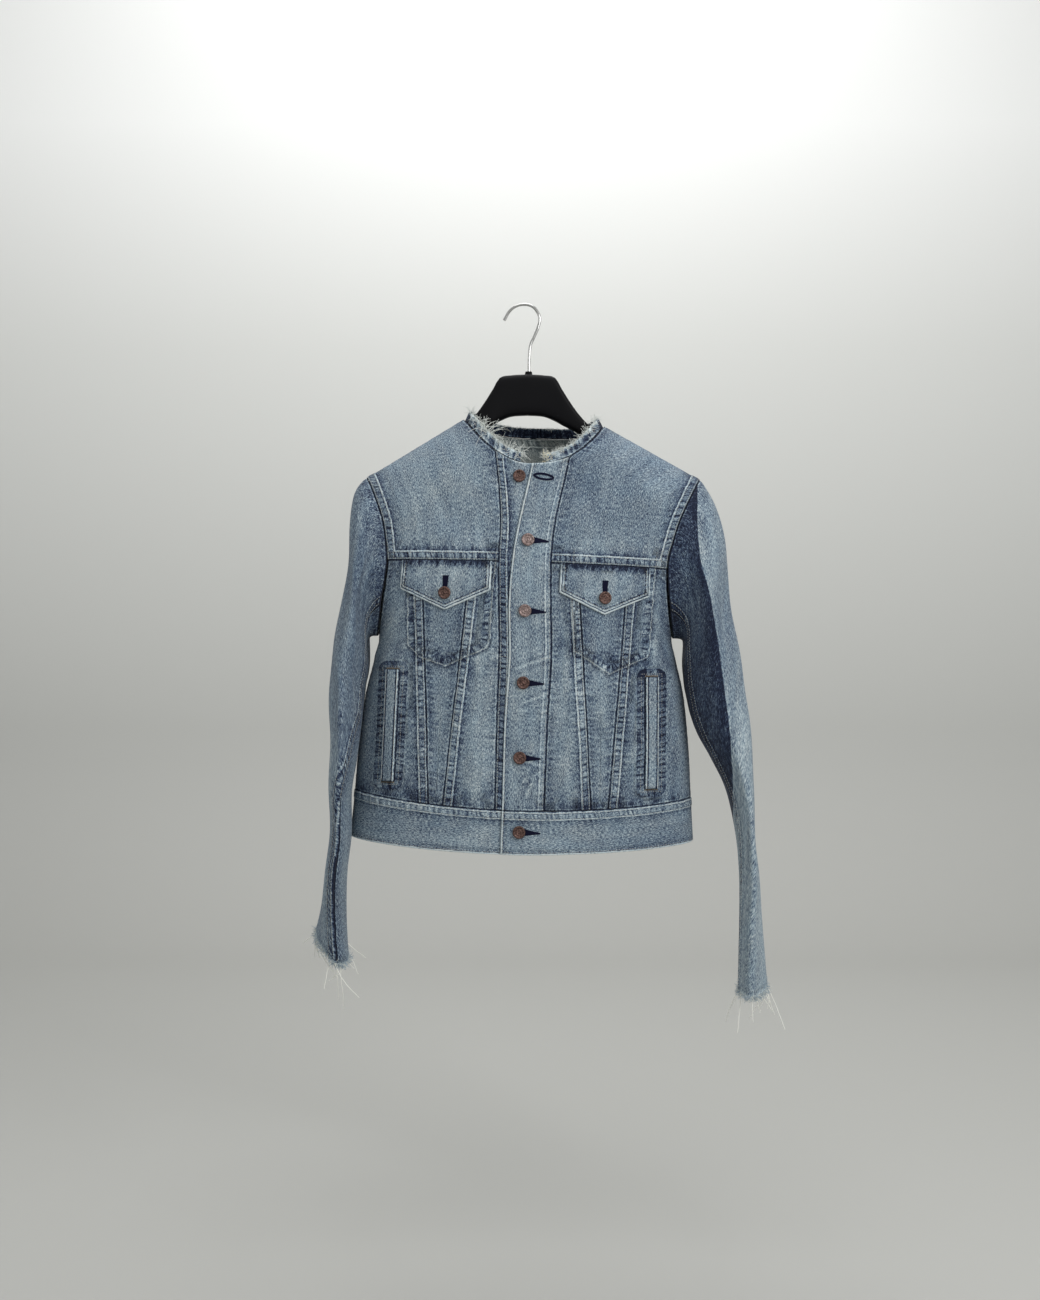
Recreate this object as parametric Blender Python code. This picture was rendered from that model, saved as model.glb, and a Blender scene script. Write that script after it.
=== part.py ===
"""A cropped denim jacket with a raw neck and raw cuffs, buttoned on a broad plastic hanger.

Metres, +Z up, the front faces -Y. The origin is the inside of the hook's crown, where a rail bears.
Left and right are the wearer's, so the right side lies at -X. Each piece that is cut and sewn, and
each button, is a solid of its own; the cloth is a wall raised outwards from its own inner face.
"""

import math
from collections import namedtuple

import bmesh
import bpy
from mathutils import Matrix, Vector

# ---------------------------------------------------------------- driving sizes
CLOTH = 0.0016  # wall of one panel
DOUBLE = 0.0020  # wall of a flap, a band or a welt, which are sewn double
SEAM_GAP = 0.0003  # clear space between two pieces at a seam
ARMHOLE_GAP = 0.0004
STRIP = 0.0110  # width of a felled seam
STRIP_RISE = 0.0009  # how far a felled seam stands above its panel
STRIP_STEP = 0.0012  # width of the slope at a felled seam's edge
LAYER = CLOTH + STRIP_RISE + SEAM_GAP  # height at which a piece lies on felled panels

SIDES = {"right": -1, "left": 1}
FRONT, BACK = -1, 1

# ---------------------------------------------------------------- tables
Body = namedtuple("Body", "height lean half_width front back")
BODY = [  # level sections, hem to neck: the middle line's place, half the width, depths of front and back
    Body(-0.670, -0.0048, 0.2085, 0.070, 0.058),
    Body(-0.600, -0.0030, 0.2030, 0.070, 0.058),
    Body(-0.540, -0.0018, 0.1990, 0.071, 0.059),
    Body(-0.475, -0.0007, 0.1915, 0.073, 0.060),
    Body(-0.430, 0.0000, 0.1810, 0.074, 0.060),
    Body(-0.405, 0.0005, 0.1760, 0.074, 0.060),
    Body(-0.360, 0.0010, 0.1845, 0.073, 0.060),
    Body(-0.312, 0.0035, 0.1985, 0.070, 0.057),
    Body(-0.264, 0.0075, 0.2150, 0.064, 0.052),
    Body(-0.212, 0.0105, 0.2350, 0.057, 0.047),
    Body(-0.130, 0.0110, 0.2500, 0.050, 0.042),
]
FULLNESS = 0.85  # exponent of a section: 1 is an ellipse, less is squarer
GIRTH = 0.2  # metres of girth for each radian round a section, for measuring on the pattern

NECK_HALF = 0.085  # half the neck's width at the shoulder seams
TIP_HALF = 0.203  # half the shoulders' width
NECK_HEIGHT = {"right": -0.1405, "left": -0.1490}
TIP_HEIGHT = {"right": -0.2122, "left": -0.2150}
CREST_DROP = 0.070  # height over which the cloth rounds over the shoulder
CREST_ARC = 0.102  # cloth from the shoulder seam to where the front hangs straight

FRONT_NECK_DROP = 0.054
BACK_NECK_DROP = 0.012
BACK_YOKE_HEIGHT = -0.300

Arm = namedtuple("Arm", "share turn fall")
ARMHOLE = [  # from the shoulder's tip to the armpit: angle round the body in degrees, cloth below the tip
    Arm(0.00, 59.8, 0.000),
    Arm(0.25, 56.4, 0.060),
    Arm(0.42, 55.2, 0.100),
    Arm(0.54, 55.8, 0.129),
    Arm(0.64, 56.9, 0.154),
    Arm(0.75, 61.6, 0.180),
    Arm(0.83, 66.6, 0.198),
    Arm(0.91, 73.4, 0.218),
    Arm(0.97, 82.0, 0.233),
    Arm(1.00, 90.0, 0.237),
]

Line = namedtuple("Line", "height right_band left_band edge")
FRONT_LINES = [  # across from the middle line: outer seams of the two button bands, free edge of the upper one
    Line(-0.670, -0.0325, 0.0250, -0.0234),
    Line(-0.605, -0.0325, 0.0252, -0.0240),
    Line(-0.505, -0.0320, 0.0270, -0.0230),
    Line(-0.430, -0.0304, 0.0302, -0.0190),
    Line(-0.366, -0.0315, 0.0290, -0.0200),
    Line(-0.307, -0.0345, 0.0268, -0.0180),
    Line(-0.263, -0.0362, 0.0285, -0.0137),
    Line(-0.190, -0.0455, 0.0415, -0.0010),
]
VSeam = namedtuple("VSeam", "outer_top outer_bottom inner_top inner_bottom")
V_SEAMS = {
    "right": VSeam(0.1230, 0.1108, 0.0656, 0.0944),
    "left": VSeam(0.1200, 0.1005, 0.0595, 0.0803),
}
BAND_OVERLAP = 0.62  # share of the upper button band's width that lies over the lower band

FLAP_MIDDLE = {"right": -0.0947, "left": 0.0914}
FLAP_WIDTH = 0.106
FLAP_SIDE = 0.034
FLAP_POINT = 0.058
POCKET_SIDE = 0.100  # below the yoke seam, where the pocket bag starts to taper
POCKET_POINT = 0.126
POCKET_INSET = 0.003

Welt = namedtuple("Welt", "top_x top_z bottom_x bottom_z")
WELTS = {"right": Welt(-0.1558, -0.4425, -0.1602, -0.5745), "left": Welt(0.1497, -0.4516, 0.1513, -0.5830)}
WELT_WIDTH = 0.0155

NECKBAND_HEIGHT = 0.0130
NECKBAND_LEAN = 0.45  # how far the neckband leans in for each unit that it rises
NECKBAND_CLEAR = 0.0005
NECKBAND_ENDS = {"right": -0.0170, "left": 0.0140}  # across from the middle line

BUTTON_RADIUS = 0.0076
BUTTONS = [  # name, across from the middle line, height
    ("button_1", -0.0172, -0.2140),
    ("button_2", -0.0020, -0.2905),
    ("button_3", -0.0011, -0.3730),
    ("button_4", -0.0020, -0.4567),
    ("button_5", -0.0045, -0.5445),
    ("button_6", -0.0035, -0.6317),
]
FLAP_BUTTON_DROP = 0.0385

Ring = namedtuple("Ring", "share outer_x outer_z inner_x inner_z middle_y depth turn drop hug")
# Rings of each sleeve, armhole to cuff: the outermost and innermost points seen from the front, the
# middle's place and half the depth from front to back, the turn about the vertical in degrees, how far
# the front fold hangs below the middle, and how closely the ring still follows the armhole.
SLEEVES = {
    "left": [
        Ring(0.000, 0.2140, -0.2136, 0.1765, -0.4050, 0.004, 0.058, 0, 0.000, 1.00),
        Ring(0.020, 0.2190, -0.2200, 0.1830, -0.4040, 0.003, 0.060, 0, 0.000, 0.80),
        Ring(0.050, 0.2250, -0.2310, 0.1880, -0.4110, 0.002, 0.062, 0, 0.000, 0.50),
        Ring(0.095, 0.2340, -0.2500, 0.1900, -0.4230, 0.000, 0.063, 0, 0.000, 0.22),
        Ring(0.150, 0.2415, -0.2800, 0.1915, -0.4360, -0.002, 0.063, 0, 0.000, 0.05),
        Ring(0.220, 0.2465, -0.3220, 0.1940, -0.4500, -0.004, 0.062, 0, 0.002, 0.00),
        Ring(0.300, 0.2520, -0.3640, 0.1950, -0.4640, -0.008, 0.060, 0, 0.004, 0.00),
        Ring(0.380, 0.2570, -0.4080, 0.1975, -0.4790, -0.013, 0.058, 0, 0.006, 0.00),
        Ring(0.460, 0.2625, -0.4540, 0.2015, -0.4980, -0.017, 0.056, 0, 0.006, 0.00),
        Ring(0.540, 0.2662, -0.5000, 0.2105, -0.5220, -0.020, 0.055, 2, 0.005, 0.00),
        Ring(0.610, 0.2692, -0.5420, 0.2262, -0.5500, -0.022, 0.054, 3, 0.004, 0.00),
        Ring(0.690, 0.2720, -0.5900, 0.2455, -0.5900, -0.023, 0.053, 3, 0.003, 0.00),
        Ring(0.770, 0.2755, -0.6400, 0.2560, -0.6400, -0.024, 0.052, 0, 0.002, 0.00),
        Ring(0.850, 0.2830, -0.6900, 0.2595, -0.6900, -0.024, 0.051, -4, 0.002, 0.00),
        Ring(0.930, 0.2858, -0.7500, 0.2592, -0.7500, -0.024, 0.050, -8, 0.002, 0.00),
        Ring(1.000, 0.2905, -0.8240, 0.2585, -0.8240, -0.024, 0.050, -12, 0.001, 0.00),
    ],
    "right": [
        Ring(0.000, 0.1920, -0.2112, 0.1760, -0.4050, 0.004, 0.058, 0, 0.000, 1.00),
        Ring(0.020, 0.1985, -0.2150, 0.1815, -0.4040, 0.003, 0.060, 0, 0.000, 0.80),
        Ring(0.050, 0.2050, -0.2220, 0.1855, -0.4110, 0.002, 0.062, 0, 0.000, 0.50),
        Ring(0.095, 0.2110, -0.2360, 0.1870, -0.4230, 0.000, 0.063, 0, 0.000, 0.22),
        Ring(0.150, 0.2140, -0.2680, 0.1890, -0.4360, -0.003, 0.063, 0, 0.002, 0.05),
        Ring(0.220, 0.2155, -0.3120, 0.1920, -0.4500, -0.008, 0.062, 0, 0.004, 0.00),
        Ring(0.300, 0.2205, -0.3600, 0.1950, -0.4650, -0.014, 0.061, 2, 0.008, 0.00),
        Ring(0.380, 0.2272, -0.4060, 0.1960, -0.4820, -0.022, 0.060, 2, 0.008, 0.00),
        Ring(0.460, 0.2301, -0.4500, 0.1970, -0.5000, -0.030, 0.059, 0, 0.008, 0.00),
        Ring(0.540, 0.2305, -0.4940, 0.1985, -0.5200, -0.038, 0.058, -1, 0.006, 0.00),
        Ring(0.610, 0.2285, -0.5380, 0.2019, -0.5500, -0.044, 0.057, -2, 0.004, 0.00),
        Ring(0.690, 0.2273, -0.5860, 0.2080, -0.5900, -0.047, 0.056, -2, 0.002, 0.00),
        Ring(0.770, 0.2275, -0.6340, 0.2080, -0.6380, -0.047, 0.055, -2, 0.002, 0.00),
        Ring(0.850, 0.2325, -0.6780, 0.2135, -0.6860, -0.045, 0.054, -2, 0.003, 0.00),
        Ring(0.930, 0.2387, -0.7200, 0.2142, -0.7340, -0.042, 0.054, -5, 0.006, 0.00),
        Ring(1.000, 0.2475, -0.7580, 0.2121, -0.7820, -0.040, 0.054, -11, 0.010, 0.00),
    ],
}
UNDERARM_PUSH = 0.40  # how fast the sleeve leaves the side under the arm
SLEEVE_FOLD = 1.45  # exponent that sharpens a sleeve's front and back folds; 1 is an ellipse
Twist = namedtuple("Twist", "share front_seam back_seam")
SLEEVE_SEAMS = {  # degrees round the ring from the outer point, by way of the front fold at 90
    "left": [Twist(0.0, 150, 250), Twist(0.3, 158, 254), Twist(0.6, 160, 256), Twist(1.0, 168, 256)],
    "right": [Twist(0.0, 150, 250), Twist(0.3, 160, 254), Twist(0.45, 163, 254), Twist(0.58, 138, 256), Twist(0.72, 104, 256),
              Twist(1.0, 100, 256)],
}

Fold = namedtuple("Fold", "across height slant length width rise")
FRONT_FOLDS = [  # soft ridges and troughs of the hung front: slant in degrees from upright
    Fold(-0.150, -0.385, 24, 0.060, 0.017, 0.0045),
    Fold(-0.095, -0.470, 8, 0.070, 0.020, -0.0030),
    Fold(-0.060, -0.545, -12, 0.060, 0.018, 0.0030),
    Fold(0.055, -0.530, 10, 0.070, 0.018, 0.0030),
    Fold(0.120, -0.500, -22, 0.070, 0.016, 0.0035),
    Fold(0.150, -0.400, -24, 0.060, 0.016, 0.0040),
    Fold(0.100, -0.250, 62, 0.070, 0.022, 0.0030),
    Fold(-0.100, -0.255, -58, 0.065, 0.022, -0.0030),
]
BACK_FOLDS = [
    Fold(-0.120, -0.430, 14, 0.090, 0.024, 0.0060),
    Fold(-0.030, -0.480, -4, 0.110, 0.026, -0.0045),
    Fold(0.060, -0.470, 8, 0.110, 0.024, 0.0055),
    Fold(0.130, -0.440, -14, 0.090, 0.022, -0.0050),
    Fold(0.000, -0.240, 90, 0.090, 0.022, -0.0030),
]
SLEEVE_FOLDS = {  # across is degrees round the ring here, height the share of the sleeve's length
    "left": [Fold(70, 0.24, 35, 24, 0.040, -0.0045), Fold(20, 0.30, -30, 26, 0.030, -0.0040),
             Fold(40, 0.56, 40, 26, 0.030, 0.0035), Fold(320, 0.52, -35, 30, 0.035, -0.0045),
             Fold(300, 0.64, 30, 28, 0.030, 0.0040), Fold(30, 0.84, 15, 30, 0.060, -0.0030)],
    "right": [Fold(40, 0.20, -30, 26, 0.040, -0.0040), Fold(60, 0.50, 30, 26, 0.035, -0.0040),
              Fold(330, 0.48, 35, 30, 0.035, 0.0045), Fold(300, 0.62, -30, 28, 0.030, -0.0045),
              Fold(30, 0.66, -30, 24, 0.030, 0.0035), Fold(20, 0.86, 12, 30, 0.060, 0.0030)],
}

Bar = namedtuple("Bar", "across top bottom half_thick")
HANGER_MIDDLE = 0.003  # the hanger's own middle, to the wearer's left of the hook's crown
HANGER = [  # sections of one half of the hanger, middle to end
    Bar(0.000, -0.0840, -0.1335, 0.0100),
    Bar(0.020, -0.0852, -0.1350, 0.0100),
    Bar(0.034, -0.0885, -0.1405, 0.0102),
    Bar(0.042, -0.1020, -0.1450, 0.0106),
    Bar(0.052, -0.1180, -0.1500, 0.0108),
    Bar(0.062, -0.1320, -0.1560, 0.0108),
    Bar(0.074, -0.1450, -0.1640, 0.0110),
    Bar(0.090, -0.1560, -0.1760, 0.0130),
    Bar(0.120, -0.1735, -0.2010, 0.0180),
    Bar(0.150, -0.1915, -0.2290, 0.0205),
    Bar(0.176, -0.2075, -0.2520, 0.0215),
]
HOOK_WIRE = 0.0018  # radius of the hook's wire
HOOK_RADIUS = 0.0180
HOOK_TIP_ANGLE = 200
HOOK_TURN_ANGLE = -28


# ---------------------------------------------------------------- reading tables
def read(rows, at):
    """The row at any value of the first column, on a smooth curve through the rows."""
    rows = sorted(rows)
    at = min(max(at, rows[0][0]), rows[-1][0])
    i = next(i for i in range(1, len(rows)) if at <= rows[i][0])
    near = [rows[max(i - 2, 0)], rows[i - 1], rows[i], rows[min(i + 1, len(rows) - 1)]]
    span = near[2][0] - near[1][0]
    t = (at - near[1][0]) / span
    values = []
    for before, start, end, after in zip(*near):
        leave = (end - before) / (near[2][0] - near[0][0]) * span
        arrive = (after - start) / (near[3][0] - near[1][0]) * span
        curve = (2 * t**3 - 3 * t**2 + 1) * start + (3 * t**2 - 2 * t**3) * end
        values.append(curve + (t**3 - 2 * t**2 + t) * leave + (t**3 - t**2) * arrive)
    return type(rows[0])(*values)


def mix(a, b, share):
    return a + (b - a) * share


def ease(t):
    t = min(max(t, 0.0), 1.0)
    return t * t * (3 - 2 * t)


def fold_rise(folds, across, height):
    """How far the folds lift the cloth at a place."""
    rise = 0.0
    for fold in folds:
        slant = math.radians(fold.slant)
        dx, dz = across - fold.across, height - fold.height
        along = dx * math.sin(slant) + dz * math.cos(slant)
        aside = dx * math.cos(slant) - dz * math.sin(slant)
        rise += fold.rise * math.exp(-((aside / fold.width) ** 2) - (along / fold.length) ** 4)
    return rise


# ---------------------------------------------------------------- the hung body
def shoulder_height(x):
    """Height of the shoulder seam over x, counted from the middle line."""
    side = "left" if x > 0 else "right"
    slope = (TIP_HEIGHT[side] - NECK_HEIGHT[side]) / (TIP_HALF - NECK_HALF)
    height = NECK_HEIGHT[side] + slope * (abs(x) - NECK_HALF)
    middle = (NECK_HEIGHT["left"] + NECK_HEIGHT["right"]) / 2 - slope * NECK_HALF
    return mix(middle + slope * abs(x), height, ease(abs(x) / NECK_HALF))


def pattern(x, z):
    """(angle round the body, cloth below the shoulder seam) of a place on the front or the back."""
    turn = math.asin(max(-1.0, min(1.0, x / read(BODY, z).half_width)))
    below = shoulder_height(x) - z
    if below >= CREST_DROP:
        return turn, CREST_ARC + below - CREST_DROP
    return turn, CREST_ARC * math.acos(1 - max(below, 0.0) / CREST_DROP) / (math.pi / 2)


def body(face, turn, fall):
    """The cloth's inner face at a place of the pattern; face is FRONT or BACK."""
    bend = min(fall / CREST_ARC, 1.0) * math.pi / 2
    below = CREST_DROP * (1 - math.cos(bend)) + max(fall - CREST_ARC, 0.0)
    x = GIRTH * math.sin(turn)
    for _ in range(7):
        z = shoulder_height(x) - below
        section = read(BODY, z)
        x = section.half_width * math.sin(turn)
    depth = section.front if face == FRONT else section.back
    folds = FRONT_FOLDS if face == FRONT else BACK_FOLDS
    depth += fold_rise(folds, x, z) * ease(math.cos(turn) / 0.4)
    y = face * depth * max(math.cos(turn), 0.0) ** FULLNESS * math.sin(bend)
    return Vector((section.lean + x, y, z))


def body_normal(face, turn, fall):
    small = 0.002
    turn = min(max(turn, -math.pi / 2 + small), math.pi / 2 - small)
    fall = max(fall, small)
    across = body(face, turn + small, fall) - body(face, turn - small, fall)
    down = body(face, turn, fall + small) - body(face, turn, fall - small)
    return (across.cross(down) * face).normalized()


def on_body(face, turn, fall, out=0.0):
    """A place on the body, moved out from its inner face."""
    place = body(face, turn, fall)
    return place + body_normal(face, turn, fall) * out if out else place


# ---------------------------------------------------------------- seam lines, as (x, z) from the middle line
def yoke_line(x):
    return -0.3158 - 0.033 * x - 0.05 * x * x


def waist_line(x, face=FRONT):
    droop = 0.0145 * (1 - (x / 0.203) ** 2) if face == FRONT else 0.0
    return -0.5930 - 0.0245 * x - droop


def hem_line(x, face=FRONT):
    droop = 0.0115 * (1 - (x / 0.208) ** 2) if face == FRONT else 0.0
    return -0.6475 - 0.0150 * x - droop


def neck_height(face, x):
    side = "left" if x > 0 else "right"
    reach = min(abs(x) / NECK_HALF, 1.0)
    middle = (NECK_HEIGHT["left"] + NECK_HEIGHT["right"]) / 2
    top = mix(middle, NECK_HEIGHT[side], ease(reach))
    if face == FRONT:
        return top - FRONT_NECK_DROP * (1 - reach**2.3)
    return top - BACK_NECK_DROP * (1 - reach**4)


def armhole(face, side, share):
    """The armhole seam at a share of the way from the shoulder's tip to the armpit, on the pattern."""
    row = read(ARMHOLE, share)
    return SIDES[side] * math.radians(row.turn), row.fall


def armhole_share(side, z):
    """The share at which the front armhole crosses a height."""
    low, high = 0.0, 1.0
    for _ in range(40):
        middle = (low + high) / 2
        if body(FRONT, *armhole(FRONT, side, middle)).z > z:
            low = middle
        else:
            high = middle
    return low


# ---------------------------------------------------------------- seams and panels on the pattern
def run(points):
    """One run of a seam, from a function of 0..1 that gives (x, z)."""
    return lambda t: pattern(*points(t))


def seam(*runs):
    """Points along a seam: each run is a function of 0..1 and its number of steps, with corners between runs."""
    points = []
    for place, steps in runs:
        points += [Vector(place(i / steps)) for i in range(steps)]
    return points + [Vector(runs[-1][0](1.0))]


def patch(bottom, top, left, right):
    """A grid of pattern points between four seams, which all run up or to the wearer's left."""
    across, up = len(bottom) - 1, len(left) - 1
    grid = []
    for j in range(up + 1):
        v = j / up
        row = []
        for i in range(across + 1):
            u = i / across
            corners = (bottom[0] * (1 - u) + bottom[-1] * u) * (1 - v) + (top[0] * (1 - u) + top[-1] * u) * v
            row.append(bottom[i] * (1 - v) + top[i] * v + left[j] * (1 - u) + right[j] * u - corners)
        grid.append(row)
    return grid


def inset(grid, gap=SEAM_GAP / 2, scale=(GIRTH, 1.0)):
    """The grid drawn in from its four seams by half a seam's gap."""
    flat = [[Vector((p.x * scale[0], p.y * scale[1])) for p in row] for row in grid]
    up, across = len(flat) - 1, len(flat[0]) - 1
    drawn = [[p.copy() for p in row] for row in flat]

    def draw(j, i, inner, before, after):
        along = flat[after[0]][after[1]] - flat[before[0]][before[1]]
        to_inner = flat[inner[0]][inner[1]] - flat[j][i]
        away = Vector((-along.y, along.x)).normalized()
        slope = max(abs(to_inner.normalized().dot(away)), 0.35)
        drawn[j][i] += to_inner.normalized() * gap / slope

    for j in range(up + 1):
        low, high = max(j - 1, 0), min(j + 1, up)
        draw(j, 0, (j, 1), (low, 0), (high, 0))
        draw(j, across, (j, across - 1), (low, across), (high, across))
    for i in range(across + 1):
        low, high = max(i - 1, 0), min(i + 1, across)
        draw(0, i, (1, i), (0, low), (0, high))
        draw(up, i, (up - 1, i), (up, low), (up, high))
    return [[Vector((p.x / scale[0], p.y / scale[1])) for p in row] for row in drawn]


# ---------------------------------------------------------------- objects
scene_objects = list(bpy.data.objects)
for old in scene_objects:
    bpy.data.objects.remove(old, do_unlink=True)

jacket = bpy.data.collections.new("denim_jacket_on_hanger")
bpy.context.scene.collection.children.link(jacket)


def material(name, colour, roughness, metallic=0.0):
    shade = bpy.data.materials.new(name)
    shade.use_nodes = True
    bsdf = shade.node_tree.nodes["Principled BSDF"]
    bsdf.inputs["Base Color"].default_value = (*colour, 1.0)
    bsdf.inputs["Roughness"].default_value = roughness
    bsdf.inputs["Metallic"].default_value = metallic
    shade.diffuse_color = (*colour, 1.0)
    return shade


Look = namedtuple("Look", "colour roughness metallic")
LOOKS = {
    "denim": Look((0.22, 0.31, 0.42), 0.95, 0.0),
    "denim_light": Look((0.29, 0.38, 0.49), 0.95, 0.0),
    "denim_dark": Look((0.15, 0.22, 0.32), 0.95, 0.0),
    "denim_threads": Look((0.62, 0.66, 0.68), 0.95, 0.0),
    "copper": Look((0.42, 0.26, 0.17), 0.45, 1.0),
    "black_plastic": Look((0.012, 0.012, 0.013), 0.45, 0.0),
    "steel": Look((0.42, 0.42, 0.42), 0.35, 1.0),
}


def add(name, data, look):
    thing = bpy.data.objects.new(name, data)
    if not data.materials:
        data.materials.append(material(name, *LOOKS[look]))
    jacket.objects.link(thing)
    return thing


def face_out(bm):
    """Turns every face of a closed body outwards."""
    bmesh.ops.recalc_face_normals(bm, faces=bm.faces)
    if bm.calc_volume(signed=True) < 0:
        bmesh.ops.reverse_faces(bm, faces=bm.faces)


def cloth(name, grid, place, wall=CLOTH, look="denim"):
    """One cloth piece: a grid of places, laid on its inner face and raised by its wall to its outer face."""
    up, across = len(grid) - 1, len(grid[0]) - 1
    bm = bmesh.new()
    bmesh.ops.create_grid(bm, x_segments=across, y_segments=up, size=0.5)
    raised = bmesh.ops.extrude_face_region(bm, geom=bm.faces[:], use_keep_orig=True)["geom"]
    raised = {v for v in raised if isinstance(v, bmesh.types.BMVert)}
    for v in bm.verts:
        point = grid[round((v.co.y + 0.5) * up)][round((v.co.x + 0.5) * across)]
        v.co = place(point, wall if v in raised else 0.0)
    face_out(bm)
    mesh = bpy.data.meshes.new(name)
    bm.to_mesh(mesh)
    bm.free()
    if name.startswith("sleeve") or "panel" in name or "yoke" in name:
        mesh.shade_smooth()
        mesh.set_sharp_from_angle(angle=math.radians(40))
    return add(name, mesh, look)


def laid(face, out=0.0):
    """Places on the front or the back, at a height above the body's inner face."""
    return lambda point, rise: on_body(face, point.x, point.y, out + rise)


# ---------------------------------------------------------------- front panels
def band_line(side, z):
    lines = read(FRONT_LINES, z)
    return lines.right_band if side == "right" else lines.left_band


def v_line(side, edge, z):
    """Across from the middle line to a slanting seam of the front: edge is outer or inner."""
    row = V_SEAMS[side]
    top, bottom = (row.outer_top, row.outer_bottom) if edge == "outer" else (row.inner_top, row.inner_bottom)
    return SIDES[side] * mix(top, bottom, (z - yoke_line(0.09)) / (waist_line(0.09) - yoke_line(0.09)))


def meet(across, height):
    """Where an upright line, across(z), meets a level line, height(x)."""
    z = height(0.0)
    for _ in range(20):
        z = height(across(z))
    return across(z), z


def upright(across, low, high):
    """A run up an upright line between two heights."""
    return run(lambda t: (across(mix(low, high, t)), mix(low, high, t)))


def level(height, start, end):
    """A run along a level line between two places across."""
    return run(lambda t: (mix(start, end, t), height(mix(start, end, t))))


def armhole_run(face, side, start, end):
    return lambda t: armhole(face, side, mix(start, end, t))


def side_run(face, side, low, high):
    """A run up the side seam between two heights."""
    def place(t):
        z = mix(low, high, t)
        half_width = read(BODY, z).half_width
        return SIDES[side] * math.pi / 2, CREST_ARC + shoulder_height(SIDES[side] * half_width) - z - CREST_DROP
    return place


def from_right(side, *seams):
    """Seams in order from the wearer's right: a left piece is laid out from its middle seam outwards."""
    return seams if side == "left" else tuple(reversed(seams))


def side_piece(side, face, bottom, top, inner, outer):
    """A patch whose seams are given from the middle outwards."""
    if side == "left":
        return inset(patch(bottom, top, inner, outer))
    return inset(patch(bottom[::-1], top[::-1], outer, inner))


PITCH = 0.019  # size of a facet
YOKE_ARM = [0, 0.07, 0.16, 0.27, 0.40, 0.54, 0.69, 0.84, 1]  # facets along the armhole, closer over the crest
YOKE_ARM_STEPS = len(YOKE_ARM) - 1
SIDE_ARM_STEPS = 5
NECK_STEPS = {FRONT: 4, BACK: 12}
BAND_NECK_STEPS = 2
sleeve_shares = {}
neck_seam = {}


def steps(length, pitch=PITCH, least=1):
    return max(least, round(length / pitch))


for side, sign in SIDES.items():
    band = lambda z, side=side: band_line(side, z)
    inner_v = lambda z, side=side: v_line(side, "inner", z)
    outer_v = lambda z, side=side: v_line(side, "outer", z)
    front_neck = lambda x: neck_height(FRONT, x)

    neck_x, neck_z = meet(band, front_neck)
    yoke_x, yoke_z = meet(band, yoke_line)
    low_x, low_z = meet(band, waist_line)
    inner_top, inner_low = meet(inner_v, yoke_line), meet(inner_v, waist_line)
    outer_top, outer_low = meet(outer_v, yoke_line), meet(outer_v, waist_line)
    arm_share = 0.62
    for _ in range(20):
        arm = body(FRONT, *armhole(FRONT, side, arm_share))
        arm_x = arm.x - read(BODY, arm.z).lean
        arm_share = armhole_share(side, yoke_line(arm_x))
    side_low = waist_line(sign * read(BODY, waist_line(sign * 0.2)).half_width)
    armpit = body(FRONT, *armhole(FRONT, side, 1.0)).z

    # The yoke: from the shoulder to the yoke seam, round the neck and the armhole.
    across = 9
    bottom = seam((level(yoke_line, yoke_x, arm_x), across))
    top = seam((lambda t: (mix(sign * math.asin(NECK_HALF / read(BODY, NECK_HEIGHT[side]).half_width),
                               armhole(FRONT, side, 0.0)[0], t), 0.0), across))
    inner = seam((upright(band, yoke_z, neck_z), 4),
                 (run(lambda t: (mix(neck_x, sign * NECK_HALF, t), front_neck(mix(neck_x, sign * NECK_HALF, t)))),
                  NECK_STEPS[FRONT]))
    outer = [Vector(armhole(FRONT, side, arm_share * part)) for part in reversed(YOKE_ARM)]
    sleeve_shares[FRONT, side] = arm_share
    neck_seam[side] = neck_x
    cloth(f"front_yoke_{side}", side_piece(side, FRONT, bottom, top, inner, outer), laid(FRONT))

    # Below it, three panels between the band, the two slanting seams and the side seam.
    up = steps(inner_top[1] - inner_low[1])
    edges = [
        ("front_centre", band, (yoke_x, yoke_z), (low_x, low_z), inner_v, inner_top, inner_low, 2, "denim_light"),
        ("front_v", inner_v, inner_top, inner_low, outer_v, outer_top, outer_low, 3, "denim_light"),
    ]
    for name, near, near_top, near_low, far, far_top, far_low, across, look in edges:
        grid = side_piece(
            side, FRONT,
            seam((level(waist_line, near_low[0], far_low[0]), across)),
            seam((level(yoke_line, near_top[0], far_top[0]), across)),
            seam((upright(near, near_low[1], near_top[1]), up)),
            seam((upright(far, far_low[1], far_top[1]), up)),
        )
        cloth(f"{name}_{side}", grid, laid(FRONT), look=look)
    half_low = sign * read(BODY, side_low).half_width
    grid = side_piece(
        side, FRONT,
        seam((level(waist_line, outer_low[0], half_low * 0.99999), 5)),
        seam((level(yoke_line, outer_top[0], arm_x), 5)),
        seam((upright(outer_v, outer_low[1], outer_top[1]), 10 + SIDE_ARM_STEPS)),
        seam((side_run(FRONT, side, side_low, armpit), 10),
             (armhole_run(FRONT, side, 1.0, arm_share), SIDE_ARM_STEPS)),
    )
    cloth(f"front_side_{side}", grid, laid(FRONT))

# ---------------------------------------------------------------- the two button bands
ON_PANEL = CLOTH + 0.0011  # inner face of a piece that lies on a panel; the facets need the room
UNDER_EDGE = BAND_OVERLAP


def band_edge(z):
    return read(FRONT_LINES, z).edge


def under_edge(z):
    lines = read(FRONT_LINES, z)
    return mix(lines.edge, lines.left_band, BAND_OVERLAP)


def neck_front(x):
    return neck_height(FRONT, x)


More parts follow.
